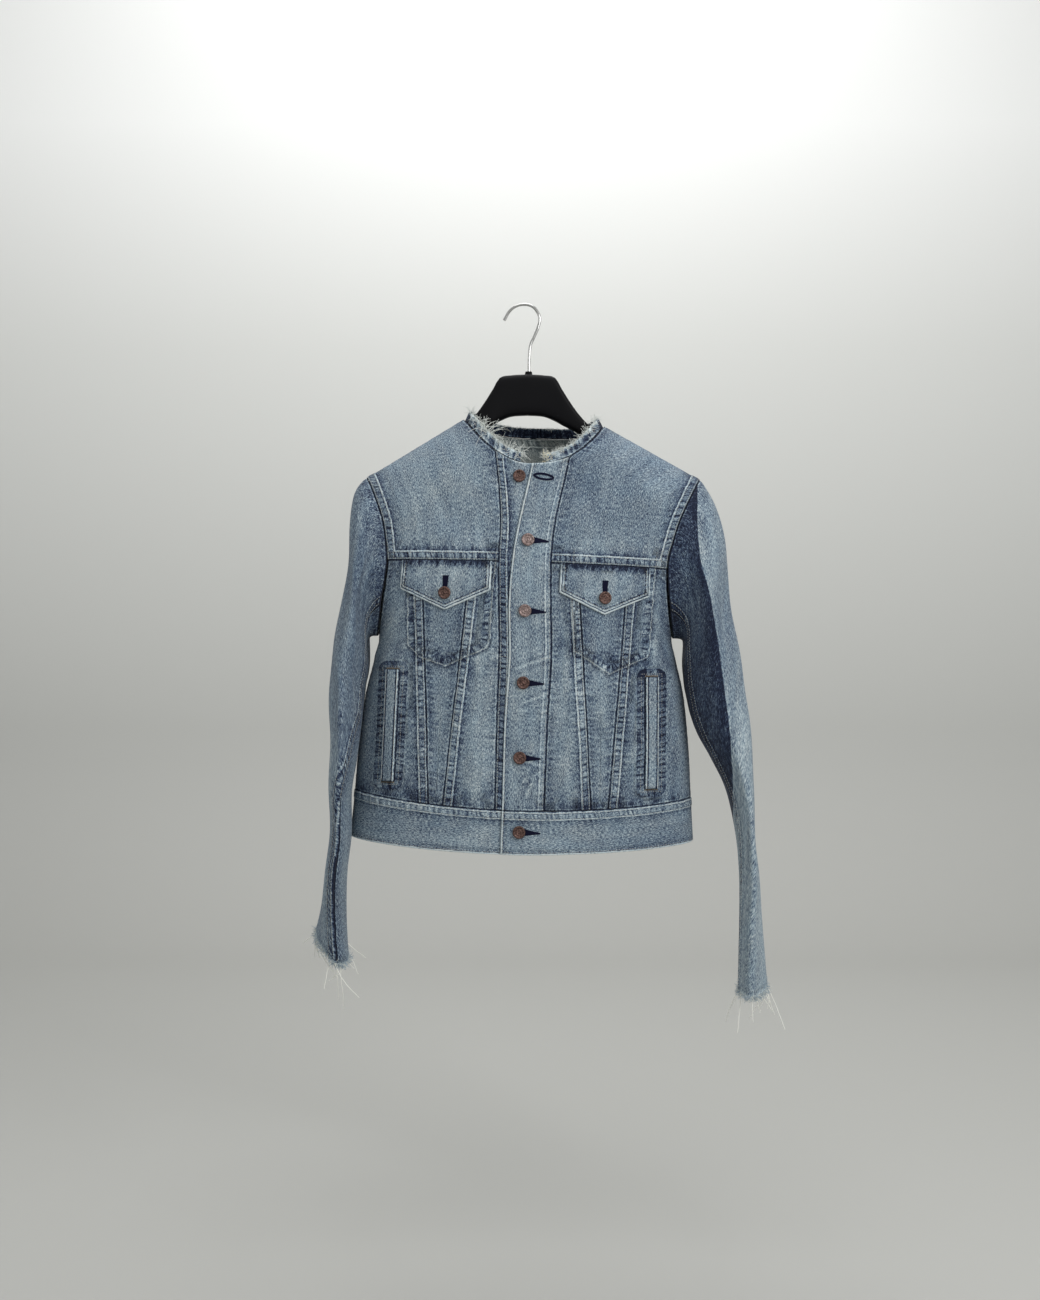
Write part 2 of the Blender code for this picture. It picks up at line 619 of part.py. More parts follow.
def button_band(name, near, far, columns, place, look):
    near_top, near_low = meet(near, neck_front), meet(near, waist_line)
    far_top, far_low = meet(far, neck_front), meet(far, waist_line)
    up = steps(near_top[1] - near_low[1], 0.021)
    grid = inset(patch(
        seam((level(waist_line, near_low[0], far_low[0]), columns)),
        seam((level(neck_front, near_top[0], far_top[0]), columns)),
        seam((upright(near, near_low[1], near_top[1]), up)),
        seam((upright(far, far_low[1], far_top[1]), up)),
    ), gap=SEAM_GAP)
    cloth(name, grid, place, DOUBLE, look)


def over_band(point, rise):
    """The upper band: level with the front at its seam, and over the lower band from there."""
    spot = body(FRONT, point.x, point.y)
    lines = read(FRONT_LINES, spot.z)
    share = (spot.x - read(BODY, spot.z).lean - lines.edge) / (lines.left_band - lines.edge)
    lift = (DOUBLE + 0.0011) * ease((1.0 - share) / (1.0 - BAND_OVERLAP) * 1.25)
    return on_body(FRONT, point.x, point.y, lift + rise)


button_band("under_band", lambda z: band_line("right", z), under_edge, 3, laid(FRONT), "denim")
button_band("placket", band_edge, lambda z: band_line("left", z), 5, over_band, "denim_light")

# ---------------------------------------------------------------- back
BACK_HEIGHT = lambda x: BACK_YOKE_HEIGHT
back_share = {}
for side in SIDES:
    low, high = 0.0, 1.0
    for _ in range(40):
        share = (low + high) / 2
        low, high = (share, high) if body(BACK, *armhole(BACK, side, share)).z > BACK_YOKE_HEIGHT else (low, share)
    back_share[side] = low
back_x = {}
for side in SIDES:
    sleeve_shares[BACK, side] = back_share[side]
    arm = body(BACK, *armhole(BACK, side, back_share[side]))
    back_x[side] = arm.x - read(BODY, arm.z).lean


def shoulder_run(side, start, end):
    neck_turn = math.asin(NECK_HALF / read(BODY, NECK_HEIGHT[side]).half_width)
    tip_turn = math.radians(ARMHOLE[0].turn)
    return lambda t: (SIDES[side] * mix(neck_turn, tip_turn, mix(start, end, t)), 0.0)


grid = inset(patch(
    seam((level(BACK_HEIGHT, back_x["right"], back_x["left"]), 20)),
    seam((shoulder_run("right", 1, 0), 4),
         (run(lambda t: (mix(-NECK_HALF, NECK_HALF, t), neck_height(BACK, mix(-NECK_HALF, NECK_HALF, t)))),
          NECK_STEPS[BACK]),
         (shoulder_run("left", 0, 1), 4)),
    [Vector(armhole(BACK, "right", back_share["right"] * part)) for part in reversed(YOKE_ARM)],
    [Vector(armhole(BACK, "left", back_share["left"] * part)) for part in reversed(YOKE_ARM)],
))
cloth("back_yoke", grid, laid(BACK), look="denim_dark")

back_waist = lambda x: waist_line(x, BACK)
side_low = {side: waist_line(sign * 0.2025) for side, sign in SIDES.items()}
grid = inset(patch(
    seam((level(back_waist, -0.99999 * read(BODY, side_low["right"]).half_width,
                0.99999 * read(BODY, side_low["left"]).half_width), 20)),
    seam((level(BACK_HEIGHT, back_x["right"], back_x["left"]), 20)),
    seam((side_run(BACK, "right", side_low["right"], armpit), 10),
         (armhole_run(BACK, "right", 1.0, back_share["right"]), SIDE_ARM_STEPS)),
    seam((side_run(BACK, "left", side_low["left"], armpit), 10),
         (armhole_run(BACK, "left", 1.0, back_share["left"]), SIDE_ARM_STEPS)),
))
cloth("back_panel", grid, laid(BACK))


# ---------------------------------------------------------------- waistband
def round_body(angle):
    """(face, turn) at an angle that starts at the front's middle and goes by the wearer's right."""
    if angle <= 90:
        return FRONT, -math.radians(angle)
    if angle <= 270:
        return BACK, math.radians(angle - 180)
    return FRONT, math.radians(360 - angle)


def waistband(point, rise):
    """point.x is the angle round the body and point.y the share of the band's height."""
    face, turn = round_body(point.x)
    z = -0.62
    for _ in range(12):
        x = read(BODY, z).half_width * math.sin(turn)
        z = mix(hem_line(x, face), waist_line(x, face) - SEAM_GAP, point.y)
    lift = (DOUBLE + 0.0010) * ease((point.x - 344) / 8)
    spot = Vector(pattern(x, z))
    spot.x = turn
    spot.y = CREST_ARC + shoulder_height(x) - z - CREST_DROP
    return on_body(face, turn, spot.y, lift + rise)


START, END = -2.4, 366.8
angles = [START, 0, 5]
angles += [5 + 85 * i / 10 for i in range(1, 11)]
angles += [90 + 180 * i / 20 for i in range(1, 21)]
angles += [270 + 74 * i / 9 for i in range(1, 10)]
angles += [346, 348.5, 351, 353, 358, END]
cloth("waistband", [[Vector((a, v / 2)) for a in angles] for v in range(3)], waistband, DOUBLE)


# ---------------------------------------------------------------- pocket flaps and welts
def flap_grid(side):
    middle = FLAP_MIDDLE[side]
    grid = []
    for j in range(5):
        row = []
        for i in range(9):
            u = i / 4 - 1
            x = middle + u * FLAP_WIDTH / 2
            bottom = FLAP_SIDE + (FLAP_POINT - FLAP_SIDE) * (1 - abs(u))
            row.append(Vector(pattern(x, yoke_line(x) - 0.0004 - bottom * (1 - j / 4))))
        grid.append(row)
    return grid


for side in SIDES:
    cloth(f"pocket_flap_{side}", flap_grid(side), laid(FRONT, ON_PANEL), DOUBLE)

for side, welt in WELTS.items():
    grid = []
    for j in range(8):
        x, z = mix(welt.bottom_x, welt.top_x, j / 7), mix(welt.bottom_z, welt.top_z, j / 7)
        grid.append([Vector(pattern(x + (i / 2 - 0.5) * WELT_WIDTH, z)) for i in range(3)])
    cloth(f"welt_pocket_{side}", grid, laid(FRONT, ON_PANEL), DOUBLE, "denim_light")


# ---------------------------------------------------------------- sleeves
def sleeve_frame(side, share):
    ring = read(SLEEVES[side], share)
    sign = SIDES[side]
    outer = Vector((sign * ring.outer_x, 0, ring.outer_z))
    inner = Vector((sign * ring.inner_x, 0, ring.inner_z))
    middle = (outer + inner) / 2 + Vector((0, ring.middle_y, 0))
    shift = ring.depth * math.sin(math.radians(ring.turn))
    fold = Vector((sign * shift, -ring.depth * math.cos(math.radians(ring.turn)), -ring.drop))
    return ring, middle, (outer - inner) / 2, fold


def armhole_start(side, angle):
    """Where the sleeve leaves the armhole: clear of the panels, and outside them towards the armpit."""
    turn = angle % 360
    face = FRONT if turn <= 180 else BACK
    share = turn / 180 if turn <= 180 else (360 - turn) / 180
    at = armhole(face, side, share)
    before, after = armhole(face, side, max(share - 0.02, 0.0)), armhole(face, side, min(share + 0.02, 1.0))
    place, normal = body(face, *at), body_normal(face, *at)
    along = (body(face, *after) - body(face, *before)).normalized()
    away = along.cross(normal) * face * SIDES[side]
    fold = ease((share - 0.45) / 0.35)
    return place + away * ARMHOLE_GAP + normal * fold * (2 * CLOTH + ARMHOLE_GAP)


def sleeve_place(side, share, angle):
    """A point of the sleeve's inner face; angle in degrees from the outermost point by way of the front."""
    ring, middle, half, fold = sleeve_frame(side, share)
    c, s = math.cos(math.radians(angle)), math.sin(math.radians(angle))
    sharp = math.copysign(abs(c) ** SLEEVE_FOLD, c)
    place = middle + half * mix(sharp, c, ring.hug) + fold * s
    if ring.hug > 0:
        start = armhole_start(side, angle)
        start.x += SIDES[side] * UNDERARM_PUSH * share * ease((1 - math.cos(math.radians(angle)) - 0.9) / 0.6)
        place = place.lerp(start, ring.hug)
    return place


def sleeve_normal(side, share, angle):
    low, high = max(share - 0.01, 0.0), min(share + 0.01, 1.0)
    along = sleeve_place(side, high, angle) - sleeve_place(side, low, angle)
    around = sleeve_place(side, share, angle + 2) - sleeve_place(side, share, angle - 2)
    normal = (around.cross(along) * SIDES[side]).normalized()
    turn = angle % 360
    face = FRONT if turn <= 180 else BACK
    down = turn / 180 if turn <= 180 else (360 - turn) / 180
    own = max(ease(share / 0.03), ease((down - 0.75) / 0.25))  # the edge stands as the panels' edge does
    return body_normal(face, *armhole(face, side, down)).lerp(normal, own).normalized()


def sleeve_fold_rise(side, share, angle):
    rise = 0.0
    for fold in SLEEVE_FOLDS[side]:
        slant = math.radians(fold.slant)
        da = ((angle - fold.across + 180) % 360 - 180) / 60
        ds = (share - fold.height) / 0.10
        along, aside = da * math.cos(slant) + ds * math.sin(slant), ds * math.cos(slant) - da * math.sin(slant)
        rise += fold.rise * math.exp(-(along**4) - (aside * 0.035 / fold.width * 1.0) ** 2 * 2)
    return rise


def on_sleeve(side, share, angle, out=0.0, shift=0.0):
    """A place on the sleeve; shift moves it round by a few tenths of a degree with the wall's direction kept."""
    past = max(share - 1.0, 0.0)
    share = min(share, 1.0)
    normal = sleeve_normal(side, share, angle)
    rise = sleeve_fold_rise(side, share, angle) * ease(share / 0.12) * ease(abs(math.cos(math.radians(angle))) * 2 - 0.5)
    place = sleeve_place(side, share, angle + shift) + normal * (rise + out)
    if past:
        along = sleeve_place(side, 1.0, angle) - sleeve_place(side, 0.96, angle)
        place += along.normalized() * past
    return place


def armhole_angles(side):
    """Angles of the sleeve's columns at the armhole, at the facets of the yokes and side panels."""
    front, back = sleeve_shares[FRONT, side], sleeve_shares[BACK, side]
    shares = [front * part for part in YOKE_ARM[:-1]]
    shares += [mix(front, 1, i / SIDE_ARM_STEPS) for i in range(SIDE_ARM_STEPS)]
    shares += [2 - mix(1, back, i / SIDE_ARM_STEPS) for i in range(SIDE_ARM_STEPS)]
    shares += [2 - back * part for part in reversed(YOKE_ARM)]
    return [180 * share for share in shares]


def seam_angle(side, share, angle):
    """Degrees by which a sleeve piece stops short of its seam."""
    around = sleeve_place(side, share, angle + 2) - sleeve_place(side, share, angle - 2)
    return SEAM_GAP / 2 / max(around.length / 4, 1e-5) * mix(7, 2, ease(share / 0.5))


FRONT_SEAM_COLUMN = YOKE_ARM_STEPS + SIDE_ARM_STEPS - 2
BACK_SEAM_COLUMN = YOKE_ARM_STEPS + 2 * SIDE_ARM_STEPS - 1


def column_angle(side, share, column):
    """Angle of a column at a share of the sleeve: even between its two seams once clear of the armhole."""
    angles = armhole_angles(side)
    row = read(SLEEVE_SEAMS[side], share)
    if column < FRONT_SEAM_COLUMN:
        top = len(angles) - 1 - BACK_SEAM_COLUMN
        even = mix(row.back_seam - 360, row.front_seam, (column + top) / (FRONT_SEAM_COLUMN + top))
    elif column <= BACK_SEAM_COLUMN:
        even = mix(row.front_seam, row.back_seam,
                   (column - FRONT_SEAM_COLUMN) / (BACK_SEAM_COLUMN - FRONT_SEAM_COLUMN))
    else:
        return column_angle(side, share, column - len(angles) + 1) + 360
    start = angles[column] if column >= 0 else angles[column - 1] - 360
    return mix(start, even, ease(share / 0.12))


SLEEVE_ROWS = [0.0, 0.010, 0.030, 0.06, 0.10, 0.15] + [0.15 + 0.85 * i / 17 for i in range(1, 18)]
for side in SIDES:
    around = len(armhole_angles(side)) - 1
    for name, first, last in (("top", BACK_SEAM_COLUMN - around, FRONT_SEAM_COLUMN),
                              ("under", FRONT_SEAM_COLUMN, BACK_SEAM_COLUMN)):
        grid = []
        for share in SLEEVE_ROWS:
            row = [Vector((share, column_angle(side, share, i), 0)) for i in range(first, last + 1)]
            row[0].z = seam_angle(side, share, row[0].y)
            row[-1].z = -seam_angle(side, share, row[-1].y)
            grid.append(row)
        place = lambda point, rise, side=side: on_sleeve(side, point.x, point.y, rise, point.z)
        cloth(f"sleeve_{name}_{side}", grid, place, look="denim" if name == "top" else "denim_light")


# ---------------------------------------------------------------- neckband
neck_stops = [(FRONT, mix(NECKBAND_ENDS["right"], neck_seam["right"], i / BAND_NECK_STEPS))
              for i in range(BAND_NECK_STEPS)]
neck_stops += [(FRONT, mix(neck_seam["right"], -NECK_HALF, i / NECK_STEPS[FRONT])) for i in range(NECK_STEPS[FRONT])]
neck_stops += [(BACK, mix(-NECK_HALF, NECK_HALF, i / NECK_STEPS[BACK])) for i in range(NECK_STEPS[BACK])]
neck_stops += [(FRONT, mix(NECK_HALF, neck_seam["left"], i / NECK_STEPS[FRONT])) for i in range(NECK_STEPS[FRONT])]
neck_stops += [(FRONT, mix(neck_seam["left"], NECKBAND_ENDS["left"], i / BAND_NECK_STEPS))
               for i in range(BAND_NECK_STEPS + 1)]


def neck_path(at):
    """The neck seam at a count of stops from the right end, round the back, to the left end."""
    i = min(int(at), len(neck_stops) - 2)
    points = [body(face, *pattern(x, neck_height(face, x))) for face, x in neck_stops[i:i + 2]]
    return points[0].lerp(points[1], at - i)


def neckband(point, rise, wall=DOUBLE):
    """point.x is the count of stops round the neck and point.y the height above the seam."""
    base = neck_path(point.x)
    out = Vector((base.x - 0.011, base.y, 0)).normalized()
    up = Vector((-out.x * NECKBAND_LEAN, -out.y * NECKBAND_LEAN, 1)).normalized()
    return base + up * (point.y + 0.0002) + out * (rise - wall - NECKBAND_CLEAR)


cloth("neckband", [[Vector((i, NECKBAND_HEIGHT * v / 2)) for i in range(len(neck_stops))]
                   for v in range(3)], neckband, DOUBLE, "denim_dark")


# ---------------------------------------------------------------- frayed edges
def fringe(name, columns, place, closed, reach, every=2, look="denim_threads"):
    """A narrow backing strip whose outer edge is drawn out into threads, one from every second facet.

    place(column, height, out) gives a point; reach(column) the thread's end as a vector from its root.
    """
    bm = bmesh.new()
    bmesh.ops.create_grid(bm, x_segments=columns, y_segments=1, size=0.5)
    raised = bmesh.ops.extrude_face_region(bm, geom=bm.faces[:], use_keep_orig=True)["geom"]
    raised = {v for v in raised if isinstance(v, bmesh.types.BMVert)}
    column = {}
    for v in bm.verts:
        at = round((v.co.x + 0.5) * columns)
        column[v] = at
        height = FRINGE_STRIP * round(v.co.y + 0.5)
        v.co = place(at, height, FRINGE_WALL if v in raised else 0.0)
        if height:
            column[v] = at + 1000
    edge_faces = [f for f in bm.faces if all(column[v] >= 1000 for v in f.verts)]
    edge_faces.sort(key=lambda f: min(column[v] for v in f.verts))
    if closed:
        ends = [f for f in bm.faces if len({column[v] % 1000 for v in f.verts}) == 1]
        bmesh.ops.delete(bm, geom=ends, context="FACES_ONLY")
        bmesh.ops.remove_doubles(bm, verts=bm.verts, dist=1e-6)
    face_out(bm)
    for i, face in enumerate(edge_faces):
        if not face.is_valid or i % every:
            continue
        thread = bmesh.ops.extrude_discrete_faces(bm, faces=[face])["faces"][0]
        middle = thread.calc_center_median()
        end = reach(i)
        for v in thread.verts:
            v.co = middle + end + (v.co - middle).normalized() * 0.0003
    mesh = bpy.data.meshes.new(name)
    bm.to_mesh(mesh)
    bm.free()
    return add(name, mesh, look)


FRINGE_STRIP = 0.0022
FRINGE_WALL = 0.0012


def scatter(i, seed):
    """A repeatable number from 0 to 1 for each thread."""
    return (math.sin(i * 12.9898 + seed * 78.233) * 43758.5453) % 1.0


THREADS_PER_STOP = 3
NECK_THREADS = THREADS_PER_STOP * (len(neck_stops) - 1)


def neck_reach(i):
    base = neck_path(i / THREADS_PER_STOP)
    out = Vector((base.x - 0.011, base.y, 0)).normalized()
    at_end = min(i, NECK_THREADS - i) < 16
    length = mix(0.003, 0.007, scatter(i, 1)) * (2.0 if at_end else 1.0)
    side = out.cross(Vector((0, 0, 1))) * mix(-0.5, 0.5, scatter(i, 2))
    return (Vector((0, 0, 1)) + side - out * mix(0.0, 0.6, scatter(i, 3))).normalized() * length


fringe("neck_fringe", NECK_THREADS,
       lambda at, height, out: neckband(Vector((at / THREADS_PER_STOP, NECKBAND_HEIGHT + SEAM_GAP + height)), out + 0.0004),
       False, neck_reach)

CUFF_THREADS = 52
for side in SIDES:
    def cuff_reach(i, side=side):
        angle = i / CUFF_THREADS * 360
        length = mix(0.010, 0.022, scatter(i, 4 + SIDES[side]))
        if scatter(i, 9) > 0.72:
            length *= 2.2
        drift = sleeve_normal(side, 1.0, angle) * mix(0.02, 0.30, scatter(i, 6)) + Vector((0, 0, -1))
        return drift.normalized() * length

    def cuff_place(at, height, out, side=side):
        return on_sleeve(side, 1.0 + SEAM_GAP + height, (at % CUFF_THREADS) / CUFF_THREADS * 360, out + 0.0002)

    fringe(f"cuff_fringe_{side}", CUFF_THREADS, cuff_place, True, cuff_reach)

# ---------------------------------------------------------------- buttons
Turn = namedtuple("Turn", "radius height")
BUTTON_PROFILE = [  # outer side, top to bottom: a cap with a rim and a raised middle, on a shank
    Turn(0.0000, 0.0038), Turn(0.0042, 0.0034), Turn(0.0056, 0.0036), Turn(0.0070, 0.0033),
    Turn(0.0076, 0.0022), Turn(0.0070, 0.0012), Turn(0.0032, 0.0010), Turn(0.0030, 0.0000),
    Turn(0.0000, 0.0000),
]
BUTTON_SIDES = 10


def button(name, x, z, out, scale=1.0):
    bm = bmesh.new()
    rims = [bm.verts.new((row.radius * scale, 0, row.height)) for row in BUTTON_PROFILE]
    edges = [bm.edges.new(pair) for pair in zip(rims, rims[1:])]
    bmesh.ops.spin(bm, geom=rims + edges, axis=(0, 0, 1), cent=(0, 0, 0), angle=2 * math.pi,
                   steps=BUTTON_SIDES, use_merge=True)
    bmesh.ops.remove_doubles(bm, verts=bm.verts, dist=1e-6)
    bmesh.ops.recalc_face_normals(bm, faces=bm.faces)
    turn, fall = pattern(x, z)
    normal = body_normal(FRONT, turn, fall)
    seat = on_body(FRONT, turn, fall, out)
    turned = normal.to_track_quat("Z", "Y").to_matrix().to_4x4()
    bmesh.ops.transform(bm, matrix=Matrix.Translation(seat) @ turned, verts=bm.verts)
    mesh = bpy.data.meshes.new(name)
    bm.to_mesh(mesh)
    bm.free()
    mesh.shade_smooth()
    mesh.set_sharp_from_angle(angle=math.radians(45))
    return add(name, mesh, "copper")


for name, x, z in BUTTONS:
    under = name == "button_1"
    button(name, x, z, DOUBLE + 0.0006 if under else 2 * DOUBLE + 0.0011 + 0.0006)
for side in SIDES:
    x = FLAP_MIDDLE[side]
    button(f"flap_button_{side}", x, yoke_line(x) - FLAP_BUTTON_DROP, ON_PANEL + DOUBLE + 0.0006)


# ---------------------------------------------------------------- hanger and hook
def cloth_over(x, y):
    """Height of the shoulder's inner face over a place."""
    face = FRONT if y < 0 else BACK
    across = x - read(BODY, -0.19).lean
    section = read(BODY, shoulder_height(across) - CREST_DROP / 2)
    depth = section.front if face == FRONT else section.back
    turn = math.asin(min(abs(across) / section.half_width, 1.0))
    share = min(abs(y) / (depth * math.cos(turn) ** FULLNESS), 1.0)
    return shoulder_height(across) - CREST_DROP * (1 - math.sqrt(1 - share**2))


def hanger():
    bm = bmesh.new()
    rings = []
    halves = [(-1, row) for row in reversed(HANGER[1:])] + [(1, row) for row in HANGER]
    for sign, row in halves:
        x = HANGER_MIDDLE + sign * row.across
        top, bottom = row.top, row.bottom
        for _ in range(4):
            if row.across > 0.10 and _ == 0:
                top += 0.01
            middle, half = (top + bottom) / 2, (top - bottom) / 2
            outline = []
            for i in range(HANGER_SIDES):
                angle = 2 * math.pi * i / HANGER_SIDES
                c, s = math.cos(angle), math.sin(angle)
                outline.append((row.half_thick * math.copysign(abs(s) ** 0.8, s),
                                middle + half * math.copysign(abs(c) ** 0.8, c)))
            if row.across > 0.10:
                top -= max(z - cloth_over(x, y) for y, z in outline) + HANGER_CLEAR
        ring = [bm.verts.new((x, y, z)) for y, z in outline]
        rings.append([bm.edges.new((ring[i], ring[(i + 1) % HANGER_SIDES])) for i in range(HANGER_SIDES)])
    for a, b in zip(rings, rings[1:]):
        bmesh.ops.bridge_loops(bm, edges=a + b)
    for end in (rings[0], rings[-1]):
        bmesh.ops.edgenet_fill(bm, edges=end)
    bmesh.ops.recalc_face_normals(bm, faces=bm.faces)
    mesh = bpy.data.meshes.new("hanger")
    bm.to_mesh(mesh)
    bm.free()
    mesh.shade_smooth()
    mesh.set_sharp_from_angle(angle=math.radians(50))
    return add("hanger", mesh, "black_plastic")


HANGER_SIDES = 14
HANGER_CLEAR = 0.0036
hanger()

Bend = namedtuple("Bend", "x z")
HOOK = [  # middle of the wire, tip to stem
    Bend(-0.0254, -0.0175), Bend(-0.0180, -0.0056), Bend(-0.0092, 0.0004), Bend(0.0000, 0.0018),
    Bend(0.0084, -0.0003), Bend(0.0150, -0.0070), Bend(0.0180, -0.0158), Bend(0.0160, -0.0260),
    Bend(0.0115, -0.0370), Bend(0.0068, -0.0480), Bend(0.0053, -0.0620), Bend(0.0050, -0.0834),
]
wire = bpy.data.curves.new("hook", "CURVE")
wire.dimensions = "3D"
wire.resolution_u = 3
wire.bevel_depth = HOOK_WIRE
wire.bevel_resolution = 2
wire.use_fill_caps = True
spline = wire.splines.new("BEZIER")
spline.bezier_points.add(len(HOOK) - 1)
for point, row in zip(spline.bezier_points, HOOK):
    point.co = (row.x, 0, row.z)
    point.handle_left_type = point.handle_right_type = "AUTO"
add("hook", wire, "steel")
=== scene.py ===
import math
from collections import namedtuple

import bmesh
import bpy
import numpy as np
from mathutils import Matrix, Vector
from mathutils.bvhtree import BVHTree


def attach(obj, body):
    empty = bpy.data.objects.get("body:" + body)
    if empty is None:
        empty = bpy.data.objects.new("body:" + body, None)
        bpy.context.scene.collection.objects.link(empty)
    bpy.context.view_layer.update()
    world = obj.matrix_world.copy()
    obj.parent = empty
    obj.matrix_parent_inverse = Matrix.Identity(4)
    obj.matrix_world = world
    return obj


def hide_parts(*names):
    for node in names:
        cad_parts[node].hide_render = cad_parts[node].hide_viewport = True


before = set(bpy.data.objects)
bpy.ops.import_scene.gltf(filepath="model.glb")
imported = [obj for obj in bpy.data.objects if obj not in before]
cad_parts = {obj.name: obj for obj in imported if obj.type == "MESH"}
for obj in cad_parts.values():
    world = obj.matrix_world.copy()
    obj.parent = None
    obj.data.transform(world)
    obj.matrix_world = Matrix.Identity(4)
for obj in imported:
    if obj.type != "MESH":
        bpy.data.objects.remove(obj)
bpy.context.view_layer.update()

# ---------------------------------------------------------------- camera, room and light
# The jacket hangs free before a sweep of pale matt cloth, under broad soft lights from the left, the
# right and above. A fourth light is on the wall behind it.
lens = bpy.data.cameras.new("camera")
lens.lens, lens.sensor_width, lens.shift_x, lens.shift_y = 40.86, 36.0, 0.0008, -0.015
lens.clip_end = 50.0
camera = bpy.data.objects.new("camera", lens)
camera.location = (-0.0073, -1.8, -0.3959)  # level, square to the front
camera.rotation_euler = (math.pi / 2, 0, 0)
bpy.context.scene.collection.objects.link(camera)
bpy.context.scene.camera = camera
bpy.context.scene.view_settings.view_transform = "Standard"
bpy.context.scene.view_settings.look = "None"

world = bpy.data.worlds.new("tent")
world.use_nodes = True
world.node_tree.nodes["Background"].inputs["Color"].default_value = (0.93, 0.945, 0.93, 1)
world.node_tree.nodes["Background"].inputs["Strength"].default_value = 0.50
bpy.context.scene.world = world

LIGHTS = [  # name, place, aim, size, power
    ("soft_right", (1.5, -1.7, 0.45), (0.0, 0.0, -0.42), 0.9, 25.0),
    ("soft_left", (-1.9, -1.5, 0.2), (0.0, 0.0, -0.45), 1.2, 5.0),
    ("soft_top", (0.1, -0.6, 1.5), (0.0, 0.0, -0.35), 1.2, 12.0),
    ("wall_light", (0.0, 1.0, 1.9), (0.0, 2.1, -0.2), 1.8, 26.0),
]
for name, place, aim, size, power in LIGHTS:
    lamp = bpy.data.lights.new(name, "AREA")
    lamp.size, lamp.energy = size, power
    holder = bpy.data.objects.new(name, lamp)
    holder.location = place
    holder.rotation_euler = (Vector(aim) - Vector(place)).to_track_quat("-Z", "Y").to_euler()
    bpy.context.scene.collection.objects.link(holder)


def shader(name, colour, roughness, metallic=0.0, **sockets):
    """A material and its Principled shader; sockets are named with underscores for spaces."""
    material = bpy.data.materials.new(name)
    material.use_nodes = True
    surface = material.node_tree.nodes["Principled BSDF"]
    surface.inputs["Base Color"].default_value = (*colour, 1)
    surface.inputs["Roughness"].default_value = roughness
    surface.inputs["Metallic"].default_value = metallic
    for socket, value in sockets.items():
        surface.inputs[socket.replace("_", " ")].default_value = value
    return material, surface


def node(material, kind, settings=(), **inputs):
    """A node with its settings and its inputs: a value, or the output of another node."""
    made = material.node_tree.nodes.new(kind)
    for key, value in dict(settings).items():
        setattr(made, key, value)
    for key, value in inputs.items():
        numbered = key[0] == "i" and key[1:].isdigit()
        socket = made.inputs[int(key[1:]) if numbered else key.replace("_", " ")]
        if isinstance(value, bpy.types.NodeSocket):
            material.node_tree.links.new(value, socket)
        else:
            socket.default_value = value
    return made


def feed(material, face, **outputs):
    """Links node outputs to the Principled shader."""
    for socket, output in outputs.items():
        material.node_tree.links.new(output, face.inputs[socket.replace("_", " ")])


def ramp(material, value, stops):
    """A colour ramp's colour; stops are (place, colour), lowest first."""
    made = node(material, "ShaderNodeValToRGB", i0=value)
    elements = made.color_ramp.elements
    elements[0].position, elements[1].position = stops[0][0], stops[-1][0]
    for at, _ in stops[1:-1]:
        elements.new(at)
    for element, (_, colour) in zip(elements, stops):
        element.color = (*colour, 1)
    return made.outputs["Color"]


def add(name, data, material=None):
    thing = bpy.data.objects.new(name, data)
    if material:
        data.materials.append(material)
    bpy.context.scene.collection.objects.link(thing)
    return thing


def built(name, bm, material, smooth=True):
    """The object that a bmesh makes."""
    mesh = bpy.data.meshes.new(name)
    bm.to_mesh(mesh)
    bm.free()
    if smooth:
        mesh.shade_smooth()
    return add(name, mesh, material)


def table(kind, rows):
    return [kind(*row) for row in rows]


FLOOR, WALL_TOP = -1.16, 2.8
SWEEP_NEAR, CORNER, CORNER_RADIUS, SWEEP_HALF = -3.2, 1.6, 0.5, 3.4


def backdrop():
    """A sweep: floor, a rounded corner and a wall, drawn out from one curve."""
    bm = bmesh.new()
    line = [(SWEEP_NEAR, FLOOR), (CORNER, FLOOR)]
    for a in np.radians(np.arange(10, 91, 10)):
        low = FLOOR + CORNER_RADIUS - CORNER_RADIUS * math.cos(a)
        line.append((CORNER + CORNER_RADIUS * math.sin(a), low))
    line.append((CORNER + CORNER_RADIUS, WALL_TOP))
    verts = [bm.verts.new((-SWEEP_HALF, y, z)) for y, z in line]
    edges = [bm.edges.new(pair) for pair in zip(verts, verts[1:])]
    swept = bmesh.ops.extrude_edge_only(bm, edges=edges)["geom"]
    swept = [v for v in swept if isinstance(v, bmesh.types.BMVert)]
    bmesh.ops.translate(bm, vec=(2 * SWEEP_HALF, 0, 0), verts=swept)
    paper, face = shader("tent_cloth", (0.70, 0.705, 0.68), 0.95)
    # The cloth is one pale colour; this ramp paints shade on it, darkest at the floor, and paints light high
    # on the wall.
    place = node(paper, "ShaderNodeTexCoord").outputs["Object"]
    high = node(paper, "ShaderNodeSeparateXYZ", Vector=place).outputs["Z"]
    share = node(paper, "ShaderNodeMapRange", Value=high, From_Min=FLOOR, From_Max=1.2).outputs[0]
    feed(paper, face, Base_Color=ramp(paper, share, SWEEP_SHADE_TONES))
    built("backdrop", bm, paper)


# Painted shade and light of the sweep, from the floor up: darker low, brightest high on the wall.
SWEEP_SHADE_TONES = [(0, (0.47, 0.47, 0.45)), (0.641, (0.735, 0.74, 0.72)), (0.893, (0.92, 0.925, 0.915))]
backdrop()

